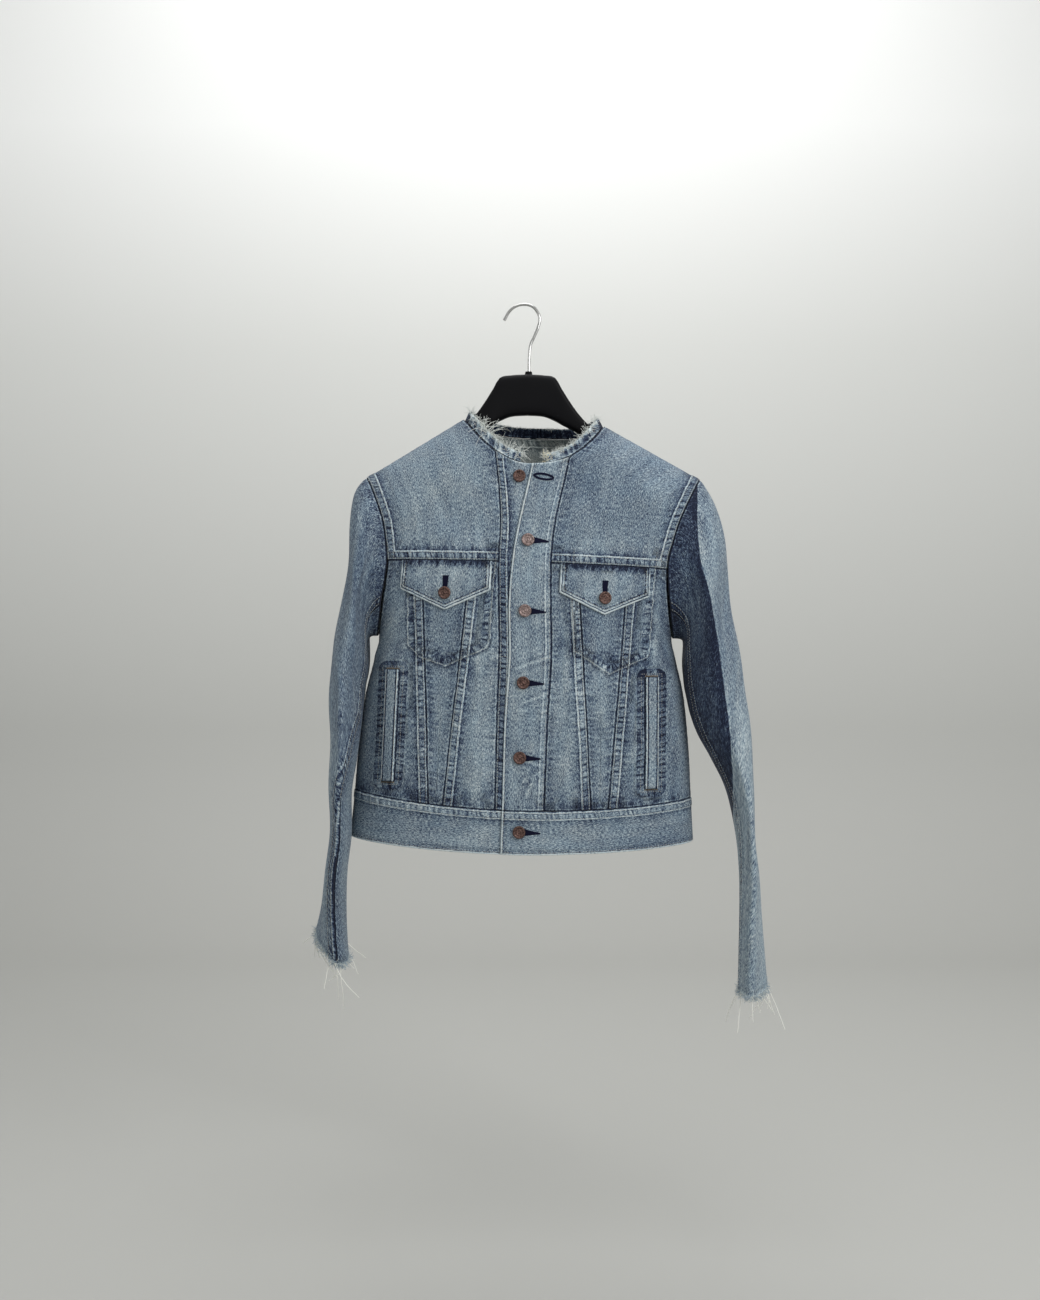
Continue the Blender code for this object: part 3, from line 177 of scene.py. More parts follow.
# ---------------------------------------------------------------- the hook
# A swivel hook of bright steel wire. Its foot turns in a short collar that is moulded into the hanger's
# crown.
steel, _ = shader("bright_wire", (0.56, 0.56, 0.55), 0.22, 1.0)
Bend = namedtuple("Bend", "x z")
HOOK_WIRE = 0.0018
HOOK = table(Bend, [  # middle of the wire, tip to stem
    (-0.0254, -0.0175), (-0.018, -0.0056), (-0.0092, 0.0004), (0, 0.0018), (0.0084, -0.0003),
    (0.015, -0.007), (0.018, -0.0158), (0.016, -0.026), (0.0115, -0.037), (0.0068, -0.048),
    (0.0053, -0.062), (0.005, -0.0834),
])


def wire(name, lines, radius, material, smooth=8, sides=2, kind="BEZIER"):
    """Round wires or threads; each line is a list of places, or of (place, share of the radius)."""
    curve = bpy.data.curves.new(name, "CURVE")
    curve.dimensions = "3D"
    curve.resolution_u = smooth
    curve.bevel_depth = radius
    curve.bevel_resolution = sides
    curve.use_fill_caps = kind == "BEZIER"
    for line in lines:
        spline = curve.splines.new(kind)
        points = spline.bezier_points if kind == "BEZIER" else spline.points
        points.add(len(line) - 1)
        for point, place in zip(points, line):
            if len(place) == 2:
                place, point.radius = place
            point.co = place if kind == "BEZIER" else (*place, 1.0)
            if kind == "BEZIER":
                point.handle_left_type = point.handle_right_type = "AUTO"
    return add(name, curve, material)


def meshed(thing):
    """The same piece as a plain mesh."""
    mesh = bpy.data.meshes.new_from_object(thing.evaluated_get(bpy.context.evaluated_depsgraph_get()))
    material, name = thing.data.materials[0], thing.name
    bpy.data.objects.remove(thing, do_unlink=True)
    mesh.materials.clear()
    mesh.shade_smooth()
    return add(name, mesh, material)


def finish(thing, slot, *nodes):
    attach(thing, "root")
    if nodes:
        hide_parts(*nodes)
    return thing


bpy.context.view_layer.update()
hook_line = [Vector((b.x, 0, b.z)) for b in HOOK]
finish(meshed(wire("wire_hook", [hook_line], HOOK_WIRE, steel, smooth=14, sides=5)), "steel", "hook")

# ---------------------------------------------------------------- the form of the hung body
# One smooth form that all panels of the body lie on: level sections with a fall from the shoulder seams.
# Places on it are written as a turn about the upright and a fall of cloth below the shoulder seam.
CLOTH, DOUBLE = 0.0016, 0.0020
ON_PANEL = CLOTH + 0.0011
SIDES = {"right": -1, "left": 1}
FRONT, BACK = -1, 1
Body = namedtuple("Body", "height lean half_width front back")
BODY = table(Body, [
    (-0.67, -0.0048, 0.2085, 0.07, 0.058), (-0.6, -0.003, 0.203, 0.07, 0.058),
    (-0.54, -0.0018, 0.199, 0.071, 0.059), (-0.475, -0.0007, 0.1915, 0.073, 0.06),
    (-0.43, 0, 0.181, 0.074, 0.06), (-0.405, 0.0005, 0.176, 0.074, 0.06),
    (-0.36, 0.001, 0.1845, 0.073, 0.06), (-0.312, 0.0035, 0.1985, 0.07, 0.057),
    (-0.264, 0.0075, 0.215, 0.064, 0.052), (-0.212, 0.0105, 0.235, 0.057, 0.047),
    (-0.13, 0.011, 0.25, 0.05, 0.042),
])
FULLNESS = 0.85
GIRTH = 0.2
NECK_HALF, TIP_HALF = 0.085, 0.203
NECK_HEIGHT = {"right": -0.1405, "left": -0.1490}
TIP_HEIGHT = {"right": -0.2122, "left": -0.2150}
CREST_DROP, CREST_ARC = 0.070, 0.102
FRONT_NECK_DROP, BACK_NECK_DROP, BACK_YOKE_HEIGHT = 0.054, 0.012, -0.300
Arm = namedtuple("Arm", "share turn fall")
ARMHOLE = table(Arm, [
    (0, 59.8, 0), (0.25, 56.4, 0.06), (0.42, 55.2, 0.1), (0.54, 55.8, 0.129), (0.64, 56.9, 0.154),
    (0.75, 61.6, 0.18), (0.83, 66.6, 0.198), (0.91, 73.4, 0.218), (0.97, 82, 0.233), (1, 90, 0.237),
])
Line = namedtuple("Line", "height right_band left_band edge")
FRONT_LINES = table(Line, [
    (-0.67, -0.0325, 0.025, -0.0234), (-0.605, -0.0325, 0.0252, -0.024), (-0.505, -0.032, 0.027, -0.023),
    (-0.43, -0.0304, 0.0302, -0.019), (-0.366, -0.0315, 0.029, -0.02), (-0.307, -0.0345, 0.0268, -0.018),
    (-0.263, -0.0362, 0.0285, -0.0137), (-0.19, -0.0455, 0.0415, -0.001),
])
VSeam = namedtuple("VSeam", "outer_top outer_bottom inner_top inner_bottom")
V_SEAMS = {"right": VSeam(0.1230, 0.1108, 0.0656, 0.0944), "left": VSeam(0.1200, 0.1005, 0.0595, 0.0803)}
BAND_OVERLAP = 0.62
Fold = namedtuple("Fold", "across height slant length width rise")
FRONT_FOLDS = table(Fold, [
    (-0.15, -0.385, 24, 0.06, 0.017, 0.0045), (-0.095, -0.47, 8, 0.07, 0.02, -0.003),
    (-0.06, -0.545, -12, 0.06, 0.018, 0.003), (0.055, -0.53, 10, 0.07, 0.018, 0.003),
    (0.12, -0.5, -22, 0.07, 0.016, 0.0035), (0.15, -0.4, -24, 0.06, 0.016, 0.004),
    (0.1, -0.25, 62, 0.07, 0.022, 0.003), (-0.1, -0.255, -58, 0.065, 0.022, -0.003),
])
BACK_FOLDS = table(Fold, [
    (-0.12, -0.43, 14, 0.09, 0.024, 0.006), (-0.03, -0.48, -4, 0.11, 0.026, -0.0045),
    (0.06, -0.47, 8, 0.11, 0.024, 0.0055), (0.13, -0.44, -14, 0.09, 0.022, -0.005),
    (0, -0.24, 90, 0.09, 0.022, -0.003),
])


def read(rows, at):
    """The columns of a table, but its first, at places along the first, on a smooth curve."""
    rows = np.array(sorted(rows))
    x = rows[:, 0]
    at = np.clip(at, x[0], x[-1])
    i = np.clip(np.searchsorted(x, at), 1, len(x) - 1)
    low, high = np.maximum(i - 2, 0), np.minimum(i + 1, len(x) - 1)
    span = (x[i] - x[i - 1])[..., None]
    t = (at - x[i - 1])[..., None] / span
    leave = (rows[i] - rows[low]) / (x[i] - x[low])[..., None] * span
    arrive = (rows[high] - rows[i - 1]) / (x[high] - x[i - 1])[..., None] * span
    value = (2 * t**3 - 3 * t**2 + 1) * rows[i - 1] + (3 * t**2 - 2 * t**3) * rows[i]
    value = value + (t**3 - 2 * t**2 + t) * leave + (t**3 - t**2) * arrive
    return np.moveaxis(value, -1, 0)[1:]


def mix(a, b, share):
    return a + (b - a) * share


def hump(value, at, width):
    return np.exp(-(((value - at) / width) ** 2))


def ease(t):
    t = np.clip(t, 0.0, 1.0)
    return t * t * (3 - 2 * t)


def fold_rise(folds, across, height):
    """How far folds lift the cloth at places of the front or the back."""
    rise = 0.0
    for fold in folds:
        slant = math.radians(fold.slant)
        dx, dz = across - fold.across, height - fold.height
        along = dx * math.sin(slant) + dz * math.cos(slant)
        aside = dx * math.cos(slant) - dz * math.sin(slant)
        rise = rise + fold.rise * np.exp(-((aside / fold.width) ** 2) - (along / fold.length) ** 4)
    return rise


def shoulder_height(x):
    """Height of the shoulder seams; across the neck the two sides are blended."""
    neck = np.where(x > 0, NECK_HEIGHT["left"], NECK_HEIGHT["right"])
    tip = np.where(x > 0, TIP_HEIGHT["left"], TIP_HEIGHT["right"])
    slope = (tip - neck) / (TIP_HALF - NECK_HALF)
    level = (sum(TIP_HEIGHT.values()) - sum(NECK_HEIGHT.values())) / 2 / (TIP_HALF - NECK_HALF)
    middle = sum(NECK_HEIGHT.values()) / 2 + level * (np.abs(x) - NECK_HALF)
    return mix(middle, neck + slope * (np.abs(x) - NECK_HALF), ease(np.abs(x) / NECK_HALF))


def pattern(x, z):
    """(turn, fall) of a place on the front or the back."""
    x, z = np.broadcast_arrays(np.asarray(x, float), np.asarray(z, float))
    turn = np.arcsin(np.clip(x / read(BODY, z)[1], -1, 1))
    below = shoulder_height(x) - z
    crest = CREST_ARC * np.arccos(1 - np.clip(below, 0, CREST_DROP) / CREST_DROP) / (math.pi / 2)
    return np.stack([turn, np.where(below >= CREST_DROP, CREST_ARC + below - CREST_DROP, crest)], -1)


def body(face, point):
    """The cloth's inner face at places of the pattern."""
    turn, fall = point[..., 0], point[..., 1]
    bend = np.minimum(fall / CREST_ARC, 1) * math.pi / 2
    below = CREST_DROP * (1 - np.cos(bend)) + np.maximum(fall - CREST_ARC, 0)
    x = GIRTH * np.sin(turn)
    for _ in range(7):
        z = shoulder_height(x) - below
        lean, half_width, front, back = read(BODY, z)
        x = half_width * np.sin(turn)
    depth = np.where(face < 0, front + fold_rise(FRONT_FOLDS, x, z) * ease(np.cos(turn) / 0.4),
                     back + fold_rise(BACK_FOLDS, x, z) * ease(np.cos(turn) / 0.4))
    return np.stack([lean + x, face * depth * np.maximum(np.cos(turn), 0) ** FULLNESS * np.sin(bend), z], -1)


def unit(v):
    return v / np.maximum(np.linalg.norm(v, axis=-1, keepdims=True), 1e-12)


def body_normal(face, point):
    small = 0.002  # step of the differences
    turn = np.clip(point[..., 0], small - math.pi / 2, math.pi / 2 - small)
    fall = np.maximum(point[..., 1], small)
    across = body(face, np.stack([turn + small, fall], -1)) - body(face, np.stack([turn - small, fall], -1))
    down = body(face, np.stack([turn, fall + small], -1)) - body(face, np.stack([turn, fall - small], -1))
    return unit(np.cross(across, down) * np.asarray(face)[..., None])


def on_body(face, point, out=0.0):
    point = np.asarray(point, float)
    return body(face, point) + body_normal(face, point) * np.asarray(out)[..., None]


def yoke_line(x):
    return -0.3158 - 0.033 * x - 0.05 * x * x


def waist_line(x, face=FRONT):
    return -0.5930 - 0.0245 * x - np.where(face < 0, 0.0145 * (1 - (x / 0.203) ** 2), 0.0)


def hem_line(x, face=FRONT):
    return -0.6475 - 0.0150 * x - np.where(face < 0, 0.0115 * (1 - (x / 0.208) ** 2), 0.0)


def neck_height(face, x):
    x = np.asarray(x, float)
    reach = np.minimum(np.abs(x) / NECK_HALF, 1.0)
    middle = (NECK_HEIGHT["left"] + NECK_HEIGHT["right"]) / 2
    top = mix(middle, np.where(x > 0, NECK_HEIGHT["left"], NECK_HEIGHT["right"]), ease(reach))
    front = top - FRONT_NECK_DROP * (1 - reach**2.3)
    return np.where(np.asarray(face) < 0, front, top - BACK_NECK_DROP * (1 - reach**4))


def armhole(side, share):
    turn, fall = read(ARMHOLE, share)
    return np.stack([SIDES[side] * np.radians(turn), fall], -1)


def armhole_share(face, side, z):
    """The share at which the armhole crosses a height."""
    shares = np.linspace(0, 1, 400)
    return float(np.interp(-z, -body(face, armhole(side, shares))[:, 2], shares))


def seam(*runs):
    """200 even places along a seam of one or more runs; each run is a function of 0..1."""
    points = np.concatenate([run(np.linspace(0, 1, 120)) for run in runs])
    step = np.linalg.norm(np.diff(points * (GIRTH, 1), axis=0), axis=1)
    run = np.concatenate([[0], np.cumsum(step + 1e-12)])
    to = np.linspace(0, run[-1], 200)
    return np.stack([np.interp(to, run, points[:, k]) for k in (0, 1)], 1)


def patch(bottom, top, left, right):
    """A close grid of pattern places between four seams, which all run up or to the wearer's left."""
    u, v = np.linspace(0, 1, 200)[None, :, None], np.linspace(0, 1, 200)[:, None, None]
    corners = (bottom[0] * (1 - u) + bottom[-1] * u) * (1 - v) + (top[0] * (1 - u) + top[-1] * u) * v
    return bottom[None] * (1 - v) + top[None] * v + left[:, None] * (1 - u) + right[:, None] * u - corners


# ---------------------------------------------------------------- denim
# Old indigo twill: a warp dyed blue over a raw weft, washed until folds, seams and edges rubbed pale
# while the cloth beside them stayed dark. Its fade says how far a place has paled, and it also carries
# painted shade and highlight: shadow lines at seams, shade under the yoke and on the sleeve's inner face,
# and lit and shaded folds. The distance to each kind of worked edge or line is kept too, in millimetres,
# the map "run" counts along it, and the map "cloth" lies along the warp, in metres.
MM = 0.001
Row = namedtuple("Row", "away rise fade ruck")
# How the cloth is worked at a distance from each kind of edge or line: its rise, its fade and its
# puckers. The dark dips right at seam lines and in grooves beside raised strips and edges are partly
# unfaded indigo and partly painted seam shadow; the pale ridges are rubbed wear.
EDGES = {key: table(Row, rows) for key, rows in {
    "felled": [
        (0, -1, -0.6, 0.1), (0.7, 0.1, -0.38, 0.3), (1.2, 0.8, 0.22, 0.5), (2, 0.7, 0.06, 0.7),
        (2.6, 0.7, -0.24, 0.9), (3.4, 0.95, -0.02, 1), (6, 0.95, 0.03, 1), (8, 0.9, -0.04, 1),
        (8.8, 0.75, -0.28, 0.8), (9.5, 0.85, 0.1, 0.5), (10.1, 0.9, 0.32, 0.3), (10.9, 0.7, 0.26, 0.3),
        (11.5, 0.3, -0.42, 0.4), (12.8, 0.05, -0.26, 0.7), (14, 0, -0.15, 0.7), (18, 0, -0.07, 0.4),
        (25, 0, 0, 0)],
    "lapped": [
        (0, -1, -0.7, 0.1), (1.2, 0.2, -0.6, 0.3), (1.9, 0.8, 0.08, 0.5), (2.9, 0.7, 0, 0.7),
        (3.5, 0.7, -0.4, 0.9), (4.5, 0.95, -0.1, 1), (7, 0.95, 0.02, 1), (9, 0.9, -0.02, 1),
        (9.8, 0.75, -0.42, 0.8), (10.9, 0.75, -0.36, 0.8), (11.7, 0.9, 0.14, 0.5), (12.7, 0.6, 0.12, 0.4),
        (13.6, 0.2, -0.22, 0.4), (16, 0, -0.05, 0.3), (20, 0, 0, 0)],
    "tucked": [
        (0, 0, -0.62, 0.2), (0.9, 0, -0.48, 0.3), (1.5, 0, 0.02, 0.5), (2.3, 0, 0.06, 0.6),
        (3.4, 0, -0.14, 0.7), (6, 0, -0.1, 0.6), (12, 0, -0.04, 0.3), (20, 0, 0, 0)],
    "folded": [
        (0, -0.9, 0.4, 0.1), (0.6, -0.1, 0.6, 0.1), (2, 0.2, 0.5, 0.3), (2.5, 0, -0.46, 0.5),
        (3.3, 0, -0.4, 0.6), (3.7, 0.25, 0.32, 0.4), (5, 0.25, 0.3, 0.5), (5.5, 0.1, -0.28, 0.9),
        (6.8, 0, -0.2, 1), (7.8, 0, 0.02, 0.6), (11, 0, 0, 0)],
    "turned": [
        (0, -0.8, 0.4, 0.1), (0.6, -0.1, 0.56, 0.2), (1.7, 0.1, 0.5, 0.3), (2.2, 0, -0.3, 0.4),
        (3.4, 0, -0.08, 0.5), (8, 0, 0, 0)],
    "piped": [
        (0, -0.9, -0.2, 0.1), (0.5, -0.1, 0.4, 0.1), (1.5, 0.2, 0.44, 0.2), (2.1, 0, -0.5, 0.4),
        (3.2, 0, -0.5, 0.4), (3.9, 0.2, 0.06, 0.2), (8, 0.1, 0.06, 0.1), (12, 0, 0, 0)],
    "rows": [
        (0, -0.8, -0.4, 0.3), (0.8, 0.3, -0.1, 0.5), (1.4, 0.7, 0.3, 0.4), (2.3, 0.7, 0.26, 0.5),
        (2.9, 0.6, -0.16, 0.8), (4, 0.8, 0.08, 0.9), (8, 0.8, 0.08, 0.9), (8.7, 0.6, -0.2, 0.7),
        (9.3, 0.7, 0.28, 0.4), (10.3, 0.5, 0.26, 0.4), (10.9, 0.2, -0.26, 0.5), (13, 0, -0.1, 0.5),
        (20, 0, 0, 0)],
    "bound": [
        (0, 0, -0.62, 0.2), (0.9, 0, -0.48, 0.3), (1.5, 0, 0.04, 0.5), (5.4, 0, -0.02, 0.6),
        (6.2, 0.1, 0.26, 0.4), (7.5, 0.1, 0.26, 0.4), (8.2, 0, -0.2, 0.6), (9.4, 0, 0, 0.4),
        (12, 0, 0, 0)],
    # pressed: the flap's top under the yoke seam, darkened partly by kept indigo and partly by painted shade
    # from the seam above it.
    "pressed": [
        (0, 0, -0.62, 0.3), (1.2, 0, -0.46, 0.9), (4, 0, -0.26, 1), (7, 0, -0.1, 0.8), (10, 0, 0, 0)],
    "plain": [
        (0, 0, -0.1, 0.1), (2, 0, 0, 0.1), (5, 0, 0, 0)],
    "cut": [
        (0, -0.3, 0.4, 0.4), (1, -0.1, 0.26, 0.5), (2.5, 0, 0.06, 0.6), (5, 0, 0, 0.3), (9, 0, 0, 0)],
    "bag": [
        (-4, 0, 0, 0), (-1.8, 0, -0.16, 0.5), (-1.1, 0.1, -0.26, 0.5), (-0.5, 0.4, 0.2, 0.3),
        (0.6, 0.5, 0.24, 0.3), (1.3, 0.4, -0.16, 0.7), (2.6, 0.35, 0, 1), (7.5, 0.3, 0.02, 1),
        (8.6, 0.1, -0.16, 0.8), (10, 0, -0.02, 0.4), (14, 0, 0, 0)],
    "slit": [
        (-2, 0, -0.4, 0.2), (0.9, 0, -0.56, 0.3), (1.7, 0, -0.06, 0.8), (2.6, 0.2, -0.1, 1),
        (8.6, 0.2, -0.14, 1), (9.6, 0, -0.24, 0.9), (10.6, 0, 0.05, 0.6), (14, 0, 0, 0)],
    # crease: the wearer's left sleeve past its front fold. A faint pale line runs before the fold; beyond it
    # the face towards the body is darkened partly by kept indigo and partly by painted shade.
    "crease": [
        (-8, 0, 0, 0), (-1.5, 0, 0.07, 0), (-0.6, 0, 0.04, 0), (0.6, 0, -0.44, 0), (2, 0, -0.6, 0),
        (12, 0, -0.54, 0), (26, 0, -0.38, 0)],
    "crumpled": [
        (0, 0, 0, 0.9), (1, 0, 0, 0.9), (20, 0, 0, 0)],
}.items()}
NEAREST, FURTHEST = -14.0, 26.0  # the span of distances that the material tells apart
SPAN = FURTHEST - NEAREST
STOPS = {  # where the grid has its rows beside each kind of edge, in millimetres
    "felled": [0, 0.7, 1.2, 2.6, 3.4, 6, 8.2, 9, 10.4, 11.1, 11.8, 12.6, 15, 22], "plain": [0, 3],
    "lapped": [0, 1.1, 1.9, 3.5, 4.5, 7, 9, 10.2, 11.7, 12.9, 14, 19], "cut": [0, 1, 2.5, 5],
    "rows": [0, 0.7, 1.4, 2.9, 4, 6, 8, 9, 10, 11, 14], "folded": [0, 0.6, 1.4, 2.1, 3.3, 4.6, 6.3, 9],
    "piped": [0, 0.6, 1.6, 2.2, 3.4, 4.2, 7], "turned": [0, 0.6, 1.6, 2.3, 5],
    "tucked": [0, 2, 6], "pressed": [0, 2, 6], "bound": [0, 2, 6],
}
UNEVEN = {"bag": 9.0, "lapped": 0.8}  # millimetres by which the wear wanders beside an edge, where not 1.8


def denim(name, inside=False):
    """The cloth's material: its tone is summed from wear, painted shade and highlight, puckers and yarns,
    then coloured.
    """
    sheen = {"Sheen_Weight": 0.06, "Sheen_Roughness": 0.6, "Specular_IOR_Level": 0.15}
    cloth, face = shader(name, (0.2, 0.28, 0.36), 0.88, **sheen)
    grain, run = (node(cloth, "ShaderNodeUVMap", {"uv_map": key}).outputs[0] for key in ("cloth", "run"))

    def kept(key):
        return node(cloth, "ShaderNodeAttribute", {"attribute_name": key}).outputs["Fac"]

    def maths(kind, *values, clamp=False):
        return node(cloth, "ShaderNodeMath", {"operation": kind, "use_clamp": clamp},
                    **{f"i{i}": v for i, v in enumerate(values)}).outputs[0]

    def noise(vector, stretch, detail=2.0, rough=0.6):
        moved = node(cloth, "ShaderNodeMapping", Vector=vector, Scale=stretch).outputs[0]
        made = node(cloth, "ShaderNodeTexNoise", Vector=moved, Scale=1.0, Detail=detail, Roughness=rough)
        return maths("SUBTRACT", made.outputs[0], 0.5)

    tone, ruck = kept("fade"), 0.0
    wander = noise(run, (90, 60, 1))  # no edge is worn evenly
    uneven = maths("MULTIPLY_ADD", noise(run, (120, 30, 1)), 2.6, 1.0)
    for kind, rows in EDGES.items():
        away = maths("ADD", kept(kind), maths("MULTIPLY", wander, UNEVEN.get(kind, 1.8)))
        at = maths("DIVIDE", maths("SUBTRACT", away, NEAREST), SPAN)
        stops = [((row.away - NEAREST) / SPAN, (0.5 + row.fade / 2, row.ruck, 0)) for row in rows]
        look = node(cloth, "ShaderNodeSeparateColor", i0=ramp(cloth, at, stops)).outputs
        worked = maths("MULTIPLY_ADD", look[0], 2.0, -1.0)
        if kind not in ("crease", "lapped"):
            worked = maths("MULTIPLY", worked, uneven)
        tone = maths("ADD", tone, worked)
        ruck = maths("MAXIMUM", ruck, look[1])
    slub = noise(grain, (980, 300, 1), 1.5, 0.75)  # uneven warp yarns
    speck = noise(grain, (1250, 1100, 1), 1.0, 0.8)  # weft that shows between them
    crinkle = maths("MULTIPLY", noise(grain, (74, 46, 1), 3.0, 0.55), kept("worn"))
    pucker = maths("MULTIPLY", noise(run, (250, 42, 1), 1.5, 0.5), 5.5)
    pucker = maths("MULTIPLY", maths("MINIMUM", maths("MAXIMUM", pucker, -1.0), 1.0), ruck)
    along = node(cloth, "ShaderNodeSeparateXYZ", Vector=run).outputs["X"]
    rung = maths("MULTIPLY_ADD", along, 840.0, maths("MULTIPLY", noise(run, (60, 25, 1), 1.0, 0.5), 16.0))
    rung = maths("POWER", maths("MAXIMUM", maths("SINE", rung), 0.0), 1.3)  # drawn in at each stitch
    rung = maths("MULTIPLY", rung, maths("POWER", ruck, 4.0))
    clouds, mottle = noise(grain, (17, 9, 1), 3.0, 0.55), noise(grain, (80, 40, 1))
    streaks = noise(grain, (130, 9, 1))
    for part, share in ((slub, 1.75), (speck, 1.35), (clouds, 0.30), (mottle, 0.07), (streaks, 0.30),
                        (pucker, 0.17), (rung, -0.38), (crinkle, 1.1)):
        tone = maths("ADD", tone, maths("MULTIPLY", part, share))
    colour = ramp(cloth, maths("MAXIMUM", tone, 0.0), INSIDE if inside else OUTSIDE)
    patchy = maths("MULTIPLY_ADD", noise(grain, (60, 24, 1), 3.0), 2.6, 0.45, clamp=True)
    bluer = node(cloth, "ShaderNodeMix", {"data_type": "RGBA", "blend_type": "MULTIPLY"},
                 i0=patchy, i6=colour, i7=(0.91, 0.99, 1.05, 1))
    yarns = maths("ADD", maths("MULTIPLY", slub, 0.35), maths("MULTIPLY", speck, 0.25))
    height = maths("ADD", maths("MULTIPLY_ADD", crinkle, 4.0, maths("MULTIPLY", pucker, 0.8)), yarns)
    bump = node(cloth, "ShaderNodeBump", Height=height, Strength=0.75, Distance=0.0011)
    feed(cloth, face, Base_Color=bluer.outputs[2], Normal=bump.outputs[0])
    return cloth


OUTSIDE = [  # indigo, from unworn to rubbed bare
    (0, (0.007, 0.011, 0.027)), (0.2, (0.037, 0.053, 0.1)), (0.38, (0.098, 0.137, 0.194)),
    (0.56, (0.213, 0.266, 0.306)), (0.78, (0.375, 0.44, 0.475)), (1, (0.64, 0.69, 0.69)),
]
INSIDE = [  # the undyed weft's side
    (0, (0.1, 0.12, 0.13)), (0.3, (0.24, 0.27, 0.27)), (0.55, (0.42, 0.45, 0.43)), (1, (0.62, 0.64, 0.61)),
]
washed = denim("washed_denim")
reverse = denim("denim_reverse", inside=True)
PITCH = 0.0034


def spaced(grid, place, low, high, pitch):
    """The grid with each row's places moved: close at its two worked edges, even between them."""
    step = np.linalg.norm(np.diff(place(grid, 0.0), axis=1), axis=2) + 1e-12
    run = np.concatenate([np.zeros((len(grid), 1)), np.cumsum(step, axis=1)], 1)
    low, high = (np.array(STOPS[kind]) * MM for kind in (low, high))
    middle = max(2, round((np.median(run[:, -1]) - low[-1] - high[-1]) / pitch))
    rows = []
    for row, at in zip(grid, run):
        fit = min(1.0, 0.9 * at[-1] / (low[-1] + high[-1]))
        near, far = low * fit, at[-1] - high[::-1] * fit
        to = np.concatenate([near, np.linspace(near[-1], far[0], middle + 1)[1:-1], far])
        rows.append(np.stack([np.interp(to, at, row[:, k]) for k in range(row.shape[1])], 1))
    return np.array(rows)


def gone(space, axis):
    """Distance gone along the rows (1) or the columns (0) of a grid of places."""
    step = np.linalg.norm(np.diff(space, axis=axis), axis=2)
    return np.concatenate([np.zeros_like(step.take([0], axis)), np.cumsum(step, axis)], axis)


Cloth = namedtuple("Cloth", "thing skin normal low high right left")
SHELL = 0.0011
made = {}
pieces_made = 0


